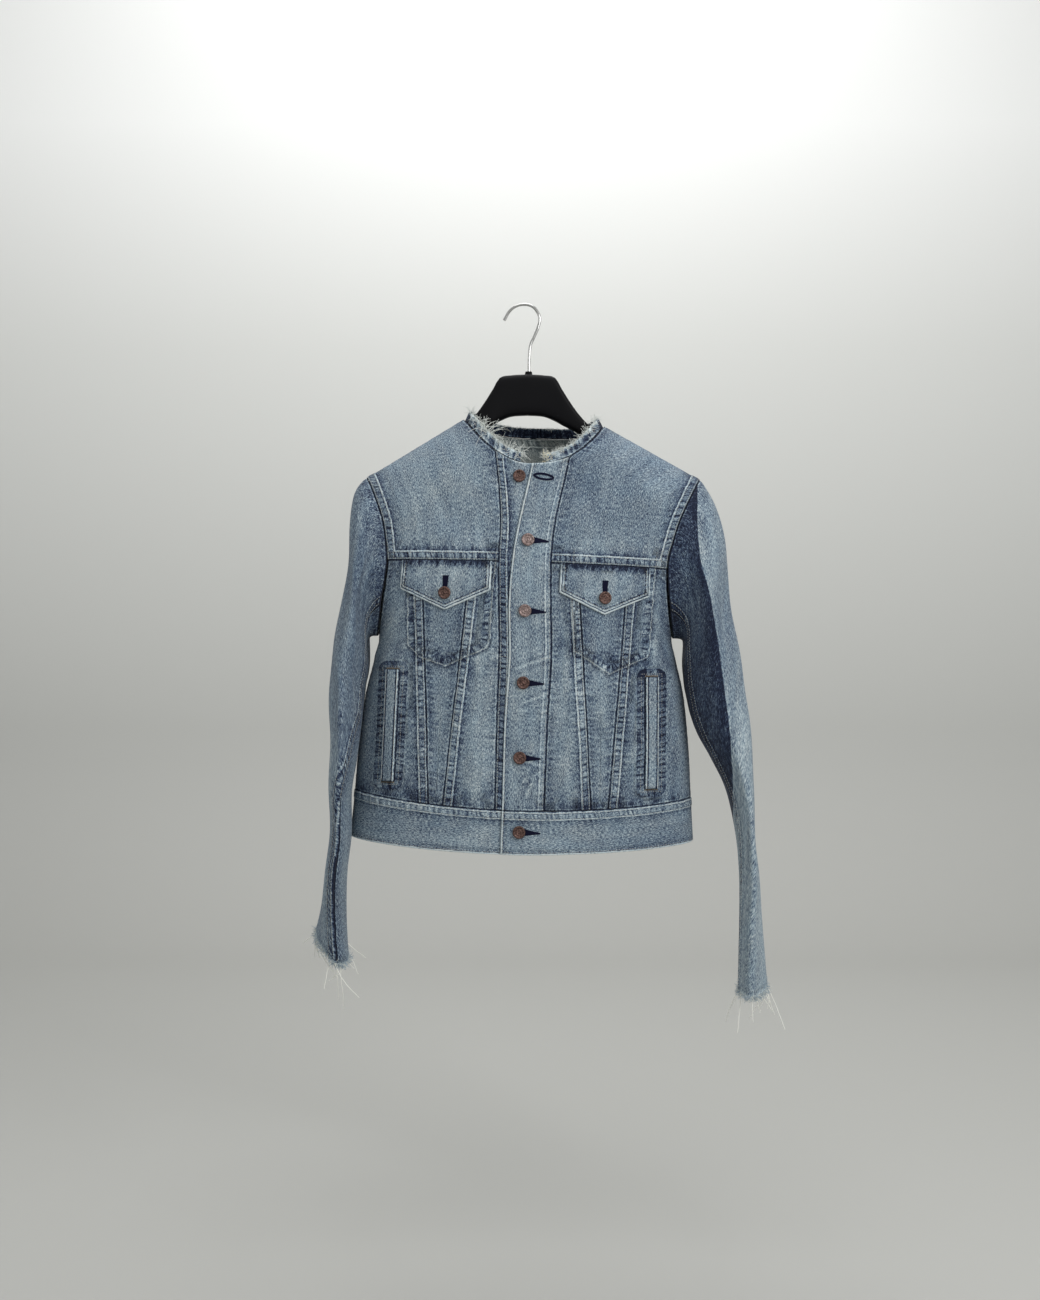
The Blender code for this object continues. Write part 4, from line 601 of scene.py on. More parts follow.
def lay(name, grid, place, edges, wall=CLOTH, fade=0.47, marks=None, pitch=PITCH, lining=reverse,
        warp="up", yarn=1):
    """A cloth piece: a fine grid on its form, with its four edges worked, as a thin shell.

    edges are low, high, right and left. marks(grid) gives more (rise, fade, worn) where the cloth has been
    worked or painted with shade and highlight, and the lines it was worked along: (kind, distance in mm,
    metres gone along). warp is the way the warp runs, and yarn how many times as wide its yarns are drawn.
    """
    global pieces_made
    pieces_made += 1
    low, high, right, left = edges
    grid = spaced(grid, place, right, left, pitch)
    grid = spaced(grid.transpose(1, 0, 2), lambda g, out: place(g, out), low, high, pitch).transpose(1, 0, 2)
    flat = place(grid, 0.0)
    across, up = gone(flat, 1), gone(flat, 0)
    reach = {"right": across, "left": across[:, -1:] - across, "low": up, "high": up[-1:] - up}
    rise, tone, worn, lines = marks(grid) if marks else (0.0, 0.0, 0.0, [])
    ruck = np.zeros(up.shape)
    rise, tone, worn = rise + ruck, tone + np.full(up.shape, fade), worn + ruck
    lines = lines + [(kind, reach[side] / MM, across if side in ("low", "high") else up)
                     for side, kind in zip(("low", "high", "right", "left"), edges)]
    away = {}
    run = np.stack([across, up], -1)
    for i, (kind, d, along) in enumerate(lines):
        rows = np.array(EDGES[kind])
        rise = rise + np.interp(d, rows[:, 0], rows[:, 1]) * MM
        away[kind] = np.where(np.abs(d) < np.abs(away[kind]), d, away[kind]) if kind in away else d
        strength = np.interp(d, rows[:, 0], rows[:, 3])
        here = np.stack([along + 0.00012 * d, d * MM + 0.37 * i + 1.7 * pieces_made], -1)
        run = np.where((strength > ruck)[..., None], here, run)
        ruck = np.maximum(ruck, strength)
    for kind, rows in EDGES.items():
        away.setdefault(kind, np.full(up.shape, FURTHEST if rows[-1].fade == 0 else NEAREST))
    # slow puckers lift the cloth along a worked seam
    count = run[..., 0]
    wave = np.sin(count * 610 + 2.1 * np.sin(count * 143 + pieces_made))
    rise = rise + 0.0003 * wave * np.sin(count * 97 + 1.3 * pieces_made) * ruck
    skin = place(grid, wall + rise)
    inner = place(grid, np.maximum(wall + np.minimum(rise, 0) - SHELL, 0.0001))
    rows, columns = up.shape
    bm = bmesh.new()
    bmesh.ops.create_grid(bm, x_segments=columns - 1, y_segments=rows - 1, size=0.5)
    raised = bmesh.ops.extrude_face_region(bm, geom=bm.faces[:], use_keep_orig=True)["geom"]
    raised = {v for v in raised if isinstance(v, bmesh.types.BMVert)}
    index = np.array([(round((v.co.y + 0.5) * (rows - 1)), round((v.co.x + 0.5) * (columns - 1)), v in raised)
                      for v in bm.verts])
    mesh = bpy.data.meshes.new(name)
    bm.to_mesh(mesh)
    bm.free()
    j, i, top = index.T
    top = top.astype(bool)
    places = np.where(top[:, None], skin[j, i], inner[j, i])
    mesh.vertices.foreach_set("co", places.ravel().astype(np.float32))
    for key, values in (("fade", tone), ("worn", worn), *away.items()):
        mesh.attributes.new(key, "FLOAT", "POINT").data.foreach_set("value", values[j, i].astype(np.float32))
    corner = np.zeros(len(mesh.loops), int)
    mesh.loops.foreach_get("vertex_index", corner)
    weave = (across / yarn, up) if warp == "up" else (up, across)
    for key, values in (("cloth", np.stack(weave, -1) + 3.1 * pieces_made), ("run", run)):
        mesh.uv_layers.new(name=key).uv.foreach_set("vector", values[j, i][corner].ravel().astype(np.float32))
    mesh.materials.append(washed)
    mesh.materials.append(lining)
    bm = bmesh.new()
    bm.from_mesh(mesh)
    bm.verts.ensure_lookup_table()
    if bm.calc_volume(signed=True) < 0:
        bmesh.ops.reverse_faces(bm, faces=bm.faces)
    for f in bm.faces:
        f.material_index = 0 if any(top[v.index] for v in f.verts) else 1
        f.smooth = True
    bm.to_mesh(mesh)
    bm.free()
    thing = add(name, mesh)
    made[name] = Cloth(thing, skin, unit(skin - inner), *(reach[k] for k in ("low", "high", "right", "left")))
    finish(thing, "denim", name.removeprefix("cloth_"))


# ---------------------------------------------------------------- front panels
# Two yokes over a centre, a V and a side panel on each side. The panels are felled together: the seam's
# two layers are turned under and sewn down with two rows, so a strip 11 mm wide stands up beside each
# seam.
def band_line(side, z):
    right, left, _ = read(FRONT_LINES, z)
    return right if side == "right" else left


def v_line(side, edge, z):
    """The V's outer or inner seam."""
    row = V_SEAMS[side]
    top, bottom = (row.outer_top, row.outer_bottom) if edge == "outer" else (row.inner_top, row.inner_bottom)
    return SIDES[side] * mix(top, bottom, (z - yoke_line(0.09)) / (waist_line(0.09) - yoke_line(0.09)))


def meet(across, height):
    """Where an upright line crosses a level one."""
    z = height(0.0)
    for _ in range(20):
        z = height(across(z))
    return float(across(z)), float(z)


def upright(across, low, high):
    return lambda t: pattern(across(mix(low, high, t)), mix(low, high, t))


def level(height, start, end):
    return lambda t: pattern(mix(start, end, t), height(mix(start, end, t)))


def armhole_run(side, start, end):
    return lambda t: armhole(side, mix(start, end, t))


def shoulder_run(side, start, end):
    neck = math.asin(NECK_HALF / read(BODY, NECK_HEIGHT[side])[1])
    tip = math.radians(ARMHOLE[0].turn)
    return lambda t: np.stack([SIDES[side] * mix(neck, tip, mix(start, end, t)), 0 * t], -1)


def side_run(side, low, high):
    def place(t):
        z = mix(low, high, t)
        half = read(BODY, z)[1]
        fall = CREST_ARC + shoulder_height(SIDES[side] * half) - z - CREST_DROP
        return np.stack([0 * t + SIDES[side] * math.pi / 2, fall], -1)
    return place


def laid(face, out=0.0):
    return lambda grid, rise: on_body(face, grid, out + rise)


def spot(point):
    """(x, z) from the middle line, of places on the front's pattern."""
    place = body(FRONT, point)
    return place[..., 0] - read(BODY, place[..., 2])[0], place[..., 2]


def inside(x, z, line):
    """Whether places lie inside the outline whose corners are given."""
    odd = np.zeros(np.shape(x), bool)
    for (ax, az), (bx, bz) in zip(line, line[1:] + line[:1]):
        if az != bz:
            odd ^= ((az > z) != (bz > z)) & (x < ax + (z - az) * (bx - ax) / (bz - az))
    return odd


def near_line(x, z, line):
    """(distance, distance gone along) from a line of (x, z) corners."""
    best, gone_along, total = np.full(np.shape(x), 9.0), np.zeros(np.shape(x)), 0.0
    for (ax, az), (bx, bz) in zip(line, line[1:]):
        length = math.hypot(bx - ax, bz - az)
        t = np.clip(((x - ax) * (bx - ax) + (z - az) * (bz - az)) / length**2, 0, 1)
        d = np.hypot(x - ax - t * (bx - ax), z - az - t * (bz - az))
        gone_along = np.where(d < best, total + t * length, gone_along)
        best = np.minimum(best, d)
        total += length
    return best, gone_along


Patch = namedtuple("Patch", "x z wide high fade")
FRONT_WASH_AND_SHADE = table(Patch, [  # paler or darker places of the front: wash, except painted shade in the bands just above the waist seam, on the wearer's left yoke and on the wearer's left side panel
    (-0.085, -0.235, 0.06, 0.045, 0.04), (0.095, -0.225, 0.065, 0.055, -0.12),
    (0.07, -0.3, 0.06, 0.01, 0.06), (-0.05, -0.5, 0.03, 0.09, 0.08), (0.05, -0.47, 0.03, 0.1, 0.01),
    (0.092, -0.51, 0.02, 0.07, 0.06), (-0.165, -0.47, 0.026, 0.1, 0.07), (0.17, -0.46, 0.02, 0.09, -0.12),
    (-0.095, -0.33, 0.06, 0.008, -0.14), (0.095, -0.334, 0.06, 0.008, -0.14),
    (-0.13, -0.59, 0.09, 0.01, -0.13), (0.1, -0.606, 0.11, 0.01, -0.13),
    (-0.095, -0.425, 0.03, 0.012, -0.1), (0.098, -0.43, 0.03, 0.012, -0.1),
    (-0.045, -0.325, 0.012, 0.02, -0.12), (0.045, -0.33, 0.01, 0.03, -0.06),
])
FRONT_WORN = table(Patch, [  # where the front is crinkled
    (-0.09, -0.43, 0.06, 0.018, 1), (0.1, -0.437, 0.06, 0.018, 1), (-0.045, -0.395, 0.014, 0.05, 0.9),
    (0.05, -0.4, 0.014, 0.05, 0.9), (-0.135, -0.39, 0.014, 0.06, 0.8), (0.15, -0.395, 0.014, 0.06, 0.8),
    (-0.12, -0.59, 0.11, 0.016, 0.9), (0.12, -0.604, 0.11, 0.016, 0.9), (-0.158, -0.51, 0.026, 0.09, 0.7),
    (0.152, -0.52, 0.026, 0.09, 0.7), (-0.08, -0.52, 0.06, 0.08, 0.35), (0.08, -0.52, 0.06, 0.08, 0.35),
    (-0.09, -0.3, 0.09, 0.016, 0.5), (0.09, -0.305, 0.09, 0.016, 0.5), (0, -0.25, 0.2, 0.08, 0.15),
])
FRONT_CREASES = table(Fold, [  # soft narrow creases of the cloth that hangs free
    (-0.078, -0.5, 10, 0.05, 0.007, 0.0016), (-0.092, -0.545, -8, 0.03, 0.0055, 0.0013),
    (-0.062, -0.48, 6, 0.06, 0.006, -0.0014), (-0.052, -0.56, 14, 0.034, 0.006, 0.0012),
    (0.062, -0.505, -6, 0.06, 0.007, 0.0015), (0.082, -0.548, 12, 0.036, 0.006, -0.0014),
    (0.094, -0.5, -18, 0.04, 0.0055, 0.0013), (0.05, -0.565, -22, 0.026, 0.006, 0.0012),
    (0.118, -0.56, 28, 0.034, 0.006, 0.0014), (-0.12, -0.54, -24, 0.04, 0.006, 0.0014),
    (-0.178, -0.52, 8, 0.05, 0.006, -0.0014), (0.18, -0.5, -10, 0.06, 0.0065, 0.0014),
    (0.172, -0.43, -34, 0.03, 0.006, -0.0012), (-0.17, -0.41, 30, 0.03, 0.006, 0.0012),
    (-0.12, -0.23, 48, 0.04, 0.012, 0.0012), (0.13, -0.215, -52, 0.046, 0.012, 0.0013),
    (-0.07, -0.255, 20, 0.03, 0.01, -0.001), (0.075, -0.25, -24, 0.034, 0.01, -0.001),
])
POCKETS = {  # edges of the pocket bags behind the panels
    "right": [(-0.139, -0.3), (-0.139, -0.412), (-0.124, -0.427), (-0.093, -0.4375), (-0.07, -0.427),
              (-0.045, -0.416), (-0.042, -0.404), (-0.037, -0.3)],
    "left": [(0.053, -0.3), (0.056, -0.419), (0.099, -0.447), (0.146, -0.4265), (0.152, -0.3)],
}
Welt = namedtuple("Welt", "top_x top_z bottom_x bottom_z")
WELTS = {"right": Welt(-0.1558, -0.4425, -0.1602, -0.5745), "left": Welt(0.1497, -0.4516, 0.1513, -0.5830)}
WELT_WIDTH = 0.0155


def welt_outline(side, beside=0.0, beyond=0.0):
    """Corners of a line round a welt, closed."""
    welt, half = WELTS[side], WELT_WIDTH / 2 + beside
    top, bottom = welt.top_z + beyond, welt.bottom_z - beyond
    return [(welt.top_x - half, top), (welt.top_x + half, top), (welt.bottom_x + half, bottom),
            (welt.bottom_x - half, bottom), (welt.top_x - half, top)]


def blots(patches, x, z):
    return sum(p.fade * np.exp(-((x - p.x) / p.wide) ** 2 - ((z - p.z) / p.high) ** 2) for p in patches)


def front_marks(point):
    x, z = spot(point)
    lines = []
    for side in SIDES:
        d, along = near_line(x, z, POCKETS[side])
        d = np.where(inside(x, z, POCKETS[side]), d, -d) / MM
        lines.append(("bag", np.where(z > yoke_line(x) + 0.0001, FURTHEST, d), along))
        box = welt_outline(side)
        d, along = near_line(x, z, box)
        lines.append(("slit", np.where(inside(x, z, box), -d, d) / MM, along))
    crease = fold_rise(FRONT_CREASES, x, z)
    # The creases' rise also paints the tone: painted highlight on their ridges, painted shade in their
    # troughs.
    return crease, blots(FRONT_WASH_AND_SHADE, x, z) + 50 * crease, np.minimum(blots(FRONT_WORN, x, z), 1.0), lines


def front_panel(name, side, seams, edges, fade):
    """A panel of the front; low, high, inner and outer seams and edges are given from the middle outwards."""
    (bottom, top, inner, outer), (low, high, inmost, outmost) = (seam(*runs) for runs in seams), edges
    if side == "right":
        bottom, top, inner, outer = bottom[::-1], top[::-1], outer, inner
        inmost, outmost = outmost, inmost
    lay(f"cloth_front_{name}_{side}", patch(bottom, top, inner, outer), laid(FRONT),
        (low, high, inmost, outmost), marks=front_marks, fade=fade)


armpit = float(body(FRONT, armhole("left", 1.0))[2])
SHORT_OF_SIDE = 0.99999
front_neck = lambda x: neck_height(FRONT, x)
neck_seam, front_share, side_waist = {}, {}, {}
for side, sign in SIDES.items():
    band = lambda z, side=side: band_line(side, z)
    inner_v = lambda z, side=side: v_line(side, "inner", z)
    outer_v = lambda z, side=side: v_line(side, "outer", z)
    neck_x, neck_z = meet(band, front_neck)
    yoke_x, yoke_z = meet(band, yoke_line)
    low_x, low_z = meet(band, waist_line)
    inner_top, inner_low = meet(inner_v, yoke_line), meet(inner_v, waist_line)
    outer_top, outer_low = meet(outer_v, yoke_line), meet(outer_v, waist_line)
    arm_share = 0.62
    for _ in range(20):
        arm = body(FRONT, armhole(side, arm_share))
        arm_x = float(arm[0] - read(BODY, arm[2])[0])
        arm_share = armhole_share(FRONT, side, yoke_line(arm_x))
    side_waist[side] = float(waist_line(sign * read(BODY, waist_line(sign * 0.2))[1]))
    neck_seam[side], front_share[side] = neck_x, arm_share

    neck_run = level(front_neck, neck_x, sign * NECK_HALF)
    front_panel("yoke", side, [
        [level(yoke_line, yoke_x, arm_x)], [shoulder_run(side, 0, 1)],
        [upright(band, yoke_z, neck_z), neck_run], [armhole_run(side, arm_share, 0)],
    ], ("felled", "tucked", "tucked", "felled"), 0.515)
    inner_run = upright(inner_v, inner_low[1], inner_top[1])
    outer_run = upright(outer_v, outer_low[1], outer_top[1])
    front_panel("centre", side, [
        [level(waist_line, low_x, inner_low[0])], [level(yoke_line, yoke_x, inner_top[0])],
        [upright(band, low_z, yoke_z)], [inner_run],
    ], ("tucked", "tucked", "tucked", "felled"), 0.54)
    front_panel("v", side, [
        [level(waist_line, inner_low[0], outer_low[0])], [level(yoke_line, inner_top[0], outer_top[0])],
        [inner_run], [outer_run],
    ], ("tucked", "tucked", "tucked", "tucked"), 0.50)
    half_low = sign * float(read(BODY, side_waist[side])[1])
    front_panel("side", side, [
        [level(waist_line, outer_low[0], half_low * SHORT_OF_SIDE)], [level(yoke_line, outer_top[0], arm_x)],
        [outer_run], [side_run(side, side_waist[side], armpit), armhole_run(side, 1.0, arm_share)],
    ], ("tucked", "tucked", "felled", "tucked"), 0.485)

# ---------------------------------------------------------------- button bands
# Each front edge is a band of doubled denim sewn to its panel. The wearer's left band lies over the right
# one and carries the buttonholes.
OVER_BAND = 0.0011


def under_edge(z):
    _, left, edge = read(FRONT_LINES, z)
    return mix(edge, left, BAND_OVERLAP)


def over_band(point, rise):
    """The upper band, which climbs on to the under band."""
    x, z = spot(point)
    _, left, edge = read(FRONT_LINES, z)
    lift = (DOUBLE + OVER_BAND) * ease((1 - (x - edge) / (left - edge)) / (1 - BAND_OVERLAP) * 1.25)
    return on_body(FRONT, point, lift + rise)


BAND_STREAKS = [  # pale rubbed creases: from, to
    ((-0.01, -0.44), (0.029, -0.4265)), ((0, -0.572), (0.02, -0.562)), ((0.004, -0.59), (0.012, -0.57)),
    ((-0.002, -0.48), (0.026, -0.47)), ((0.004, -0.548), (0.024, -0.556)),
]


def band_marks(point):
    x, z = spot(point)
    tone = np.zeros(x.shape)
    for line in BAND_STREAKS:
        d, _ = near_line(x, z, line)  # pale, with a darker line beside it
        tone += 0.20 * hump(d, 0, 0.0016) - 0.12 * hump(d, 0.004, 0.0025)
    for _, bx, bz in BUTTONS:
        tone -= 0.10 * np.exp(-((x - bx - 0.019) / 0.007) ** 2 - ((z - bz) / 0.0035) ** 2)
    tone -= 0.09 * ease((-0.290 - z) / 0.02) * ease((-0.0225 - x) / 0.002)
    return 0.0, tone, 0.3, []


BUTTONS = [
    ("button_1", -0.0172, -0.214), ("button_2", -0.002, -0.2905), ("button_3", -0.0011, -0.373),
    ("button_4", -0.002, -0.4567), ("button_5", -0.0045, -0.5445), ("button_6", -0.0035, -0.6317),
]


def button_band(name, near, far, place, edges, fade):
    near_top, near_low = meet(near, front_neck), meet(near, waist_line)
    far_top, far_low = meet(far, front_neck), meet(far, waist_line)
    grid = patch(seam(level(waist_line, near_low[0], far_low[0])),
                 seam(level(front_neck, near_top[0], far_top[0])),
                 seam(upright(near, near_low[1], near_top[1])), seam(upright(far, far_low[1], far_top[1])))
    lay(name, grid, place, edges, wall=DOUBLE, fade=fade, marks=band_marks, pitch=PITCH * 0.6)


button_band("cloth_under_band", lambda z: band_line("right", z), under_edge, laid(FRONT),
            ("tucked", "cut", "felled", "plain"), 0.48)
button_band("cloth_placket", lambda z: read(FRONT_LINES, z)[2], lambda z: band_line("left", z), over_band,
            ("tucked", "cut", "turned", "bound"), 0.54)

# ---------------------------------------------------------------- back
# A deep yoke over one wide panel, felled together and to the shoulders, sleeves and sides.
back_share = {side: armhole_share(BACK, side, BACK_YOKE_HEIGHT) for side in SIDES}
back_x, back_half = {}, {}
for side in SIDES:
    arm = body(BACK, armhole(side, back_share[side]))
    back_x[side] = float(arm[0] - read(BODY, arm[2])[0])
    back_half[side] = SHORT_OF_SIDE * read(BODY, side_waist[side])[1]
back_seam = seam(level(lambda x: BACK_YOKE_HEIGHT + 0 * x, back_x["right"], back_x["left"]))
back_waist = seam(level(lambda x: waist_line(x, BACK), -back_half["right"], back_half["left"]))
back_neck = level(lambda x: neck_height(BACK, x), -NECK_HALF, NECK_HALF)
back_top = seam(shoulder_run("right", 1, 0), back_neck, shoulder_run("left", 0, 1))
upper_sides = (seam(armhole_run(side, back_share[side], 0)) for side in SIDES)
lay("cloth_back_yoke", patch(back_seam, back_top, *upper_sides), laid(BACK),
    ("felled", "felled", "felled", "felled"), fade=0.50, pitch=PITCH * 1.2)
lower_sides = (seam(side_run(side, side_waist[side], armpit), armhole_run(side, 1.0, back_share[side]))
               for side in SIDES)
lay("cloth_back_panel", patch(back_waist, back_seam, *lower_sides), laid(BACK),
    ("tucked", "tucked", "felled", "felled"), fade=0.48, pitch=PITCH * 1.2)


# ---------------------------------------------------------------- waistband
# One straight strip of doubled denim, closed at the front with the last button, its top sewn down with
# two rows.
def waistband(point, rise):
    """Places at an angle round the body, from the front's middle by the wearer's right, and a share of its
    height. The end past 344 degrees lies over the beginning.
    """
    angle, share = point[..., 0], point[..., 1]
    face = np.where((angle > 90) & (angle <= 270), BACK, FRONT)
    turn = np.where(angle <= 90, -angle, np.where(angle <= 270, angle - 180, 360 - angle)) * math.pi / 180
    z = np.full(angle.shape, -0.62)  # a first guess
    for _ in range(12):
        x = read(BODY, z)[1] * np.sin(turn)
        z = mix(hem_line(x, face), waist_line(x, face), share)
    lift = (DOUBLE + 0.0010) * ease((angle - 344) / 8)
    fall = CREST_ARC + shoulder_height(x) - z - CREST_DROP
    return on_body(face, np.stack([turn, fall], -1), lift + rise)


def waist_marks(point):
    angle, share = point[..., 0], point[..., 1]
    tone = -0.05 * hump(share, 0.72, 0.10) * (0.6 + 0.4 * np.sin(angle * 0.21))
    return 0.0, tone - 0.05 * hump(angle, 300, 30), 0.2 * (share > 0.4), []


u, v = np.meshgrid(np.linspace(-2.4, 366.8, 900), np.linspace(0, 1, 60))
lay("cloth_waistband", np.stack([u, v], -1), waistband, ("turned", "rows", "turned", "turned"), wall=DOUBLE,
    fade=0.535, marks=waist_marks, warp="across")

# ---------------------------------------------------------------- pocket flaps and welts
# Pointed flaps of doubled denim hang from the yoke seam, edge-stitched twice; the hand pockets are slits
# closed by a narrow welt.
FLAP_MIDDLE = {"right": -0.0947, "left": 0.0914}
FLAP_WIDTH, FLAP_SIDE, FLAP_POINT = 0.106, 0.034, 0.058
for side in SIDES:
    u, v = np.meshgrid(np.linspace(-1, 1, 161), np.linspace(0, 1, 80))
    x = FLAP_MIDDLE[side] + u * FLAP_WIDTH / 2
    drop = FLAP_SIDE + (FLAP_POINT - FLAP_SIDE) * (1 - np.abs(u))

    def flap_marks(point, middle=FLAP_MIDDLE[side]):
        fx, fz = spot(point)
        down = yoke_line(fx) - fz
        tone = 0.07 * np.exp(-((fx - middle) / 0.028) ** 2 - ((down - 0.018) / 0.012) ** 2)
        return 0.0, tone - 0.08 * np.exp(-((np.abs(fx - middle) - 0.040) / 0.008) ** 2), 0.4, []

    grid = pattern(x, yoke_line(x) - 0.0004 - drop * (1 - v))
    lay(f"cloth_pocket_flap_{side}", grid, laid(FRONT, ON_PANEL), ("folded", "pressed", "folded", "folded"),
        wall=DOUBLE, fade=0.54, marks=flap_marks, pitch=PITCH * 0.8)
    welt = WELTS[side]
    u, v = np.meshgrid(np.linspace(-0.5, 0.5, 30), np.linspace(0, 1, 120))
    x, z = mix(welt.bottom_x, welt.top_x, v) + u * WELT_WIDTH, mix(welt.bottom_z, welt.top_z, v)
    lay(f"cloth_welt_pocket_{side}", pattern(x, z), laid(FRONT, ON_PANEL),
        ("plain", "plain", "piped", "piped"), wall=DOUBLE, fade=0.50, pitch=PITCH * 0.8)

# ---------------------------------------------------------------- sleeves
# Two-piece sleeves, sewn into the armholes, lapped down the arm, hanging with a fold in front and behind
# and cut raw at the ends.
Ring = namedtuple("Ring", "share outer_x outer_z inner_x inner_z middle_y depth turn drop hug")
SLEEVES = {key: table(Ring, rows) for key, rows in {
    "left": [
        (0, 0.214, -0.2136, 0.1765, -0.405, 0.004, 0.058, 0, 0, 1),
        (0.02, 0.219, -0.22, 0.183, -0.404, 0.003, 0.06, 0, 0, 0.8),
        (0.05, 0.225, -0.231, 0.188, -0.411, 0.002, 0.062, 0, 0, 0.5),
        (0.095, 0.234, -0.25, 0.19, -0.423, 0, 0.063, 0, 0, 0.22),
        (0.15, 0.2415, -0.28, 0.1915, -0.436, -0.002, 0.063, 0, 0, 0.05),
        (0.22, 0.2465, -0.322, 0.194, -0.45, -0.004, 0.062, 0, 0.002, 0),
        (0.3, 0.252, -0.364, 0.195, -0.464, -0.008, 0.06, 0, 0.004, 0),
        (0.38, 0.257, -0.408, 0.1975, -0.479, -0.013, 0.058, 0, 0.006, 0),
        (0.46, 0.2625, -0.454, 0.2015, -0.498, -0.017, 0.056, 0, 0.006, 0),
        (0.54, 0.2662, -0.5, 0.2105, -0.522, -0.02, 0.055, 2, 0.005, 0),
        (0.61, 0.2692, -0.542, 0.2262, -0.55, -0.022, 0.054, 3, 0.004, 0),
        (0.69, 0.272, -0.59, 0.2455, -0.59, -0.023, 0.053, 3, 0.003, 0),
        (0.77, 0.2755, -0.64, 0.256, -0.64, -0.024, 0.052, 0, 0.002, 0),
        (0.85, 0.283, -0.69, 0.2595, -0.69, -0.024, 0.051, -4, 0.002, 0),
        (0.93, 0.2858, -0.75, 0.2592, -0.75, -0.024, 0.05, -8, 0.002, 0),
        (1, 0.2905, -0.824, 0.2585, -0.824, -0.024, 0.05, -12, 0.001, 0)],
    "right": [
        (0, 0.192, -0.2112, 0.176, -0.405, 0.004, 0.058, 0, 0, 1),
        (0.02, 0.1985, -0.215, 0.1815, -0.404, 0.003, 0.06, 0, 0, 0.8),
        (0.05, 0.205, -0.222, 0.1855, -0.411, 0.002, 0.062, 0, 0, 0.5),
        (0.095, 0.211, -0.236, 0.187, -0.423, 0, 0.063, 0, 0, 0.22),
        (0.15, 0.214, -0.268, 0.189, -0.436, -0.003, 0.063, 0, 0.002, 0.05),
        (0.22, 0.2155, -0.312, 0.192, -0.45, -0.008, 0.062, 0, 0.004, 0),
        (0.3, 0.2205, -0.36, 0.195, -0.465, -0.014, 0.061, 2, 0.008, 0),
        (0.38, 0.2272, -0.406, 0.196, -0.482, -0.022, 0.06, 2, 0.008, 0),
        (0.46, 0.2301, -0.45, 0.197, -0.5, -0.03, 0.059, 0, 0.008, 0),
        (0.54, 0.2305, -0.494, 0.1985, -0.52, -0.038, 0.058, -1, 0.006, 0),
        (0.61, 0.2285, -0.538, 0.2019, -0.55, -0.044, 0.057, -2, 0.004, 0),
        (0.69, 0.2273, -0.586, 0.208, -0.59, -0.047, 0.056, -2, 0.002, 0),
        (0.77, 0.2275, -0.634, 0.208, -0.638, -0.047, 0.055, -2, 0.002, 0),
        (0.85, 0.2325, -0.678, 0.2135, -0.686, -0.045, 0.054, -2, 0.003, 0),
        (0.93, 0.2387, -0.72, 0.2142, -0.734, -0.042, 0.054, -5, 0.006, 0),
        (1, 0.2475, -0.758, 0.2121, -0.782, -0.04, 0.054, -11, 0.01, 0)],
}.items()}
UNDERARM_PUSH, SLEEVE_FOLD, ARMHOLE_GAP = 0.40, 1.45, 0.0004
Twist = namedtuple("Twist", "share front_seam back_seam")
SLEEVE_SEAMS = {key: table(Twist, rows) for key, rows in {
    "left": [
        (0, 150, 250), (0.3, 158, 254), (0.6, 160, 256), (1, 168, 256)],
    "right": [
        (0, 150, 250), (0.3, 160, 254), (0.45, 163, 254), (0.58, 138, 256), (0.72, 104, 256),
        (1, 100, 256)],
}.items()}
SHADED = [  # the wearer's left sleeve folds along this line; its face towards the body is dark partly from kept dye and partly from painted shade
    (0, 20), (0.03, 38), (0.058, 60), (0.075, 70), (0.098, 79), (0.135, 82), (0.18, 83), (0.24, 81),
    (0.31, 78), (0.38, 78), (0.44, 79), (0.52, 87), (0.588, 110), (0.642, 129), (0.718, 170), (0.76, 200),
]
# Across is degrees round the ring here, and height the share of the sleeve's length.
SLEEVE_FOLDS = {key: table(Fold, rows) for key, rows in {
    "left": [
        (70, 0.24, 35, 24, 0.04, -0.0045), (20, 0.3, -30, 26, 0.03, -0.004),
        (40, 0.56, 40, 26, 0.03, 0.0035), (320, 0.52, -35, 30, 0.035, -0.0045),
        (300, 0.64, 30, 28, 0.03, 0.004), (30, 0.84, 15, 30, 0.06, -0.003)],
    "right": [
        (40, 0.2, -30, 26, 0.04, -0.004), (60, 0.5, 30, 26, 0.035, -0.004),
        (330, 0.48, 35, 30, 0.035, 0.0045), (300, 0.62, -30, 28, 0.03, -0.0045),
        (30, 0.66, -30, 24, 0.03, 0.0035), (20, 0.86, 12, 30, 0.06, 0.003)],
}.items()}


def armhole_start(side, angle):
    """The sleeve's first ring, beside the armhole: places, normals and shares of the armhole."""
    turn = angle % 360
    face = np.where(turn <= 180, FRONT, BACK)
    share = np.where(turn <= 180, turn, 360 - turn) / 180
    at, before, after = (armhole(side, np.clip(share + d, 0, 1)) for d in (0, -0.02, 0.02))
    along = unit(body(face, after) - body(face, before))
    normal = body_normal(face, at)
    away = np.cross(along, normal) * (face * SIDES[side])[..., None]
    fold = ease((share - 0.45) / 0.35)[..., None]
    return body(face, at) + away * ARMHOLE_GAP + normal * fold * (2 * CLOTH + ARMHOLE_GAP), normal, share


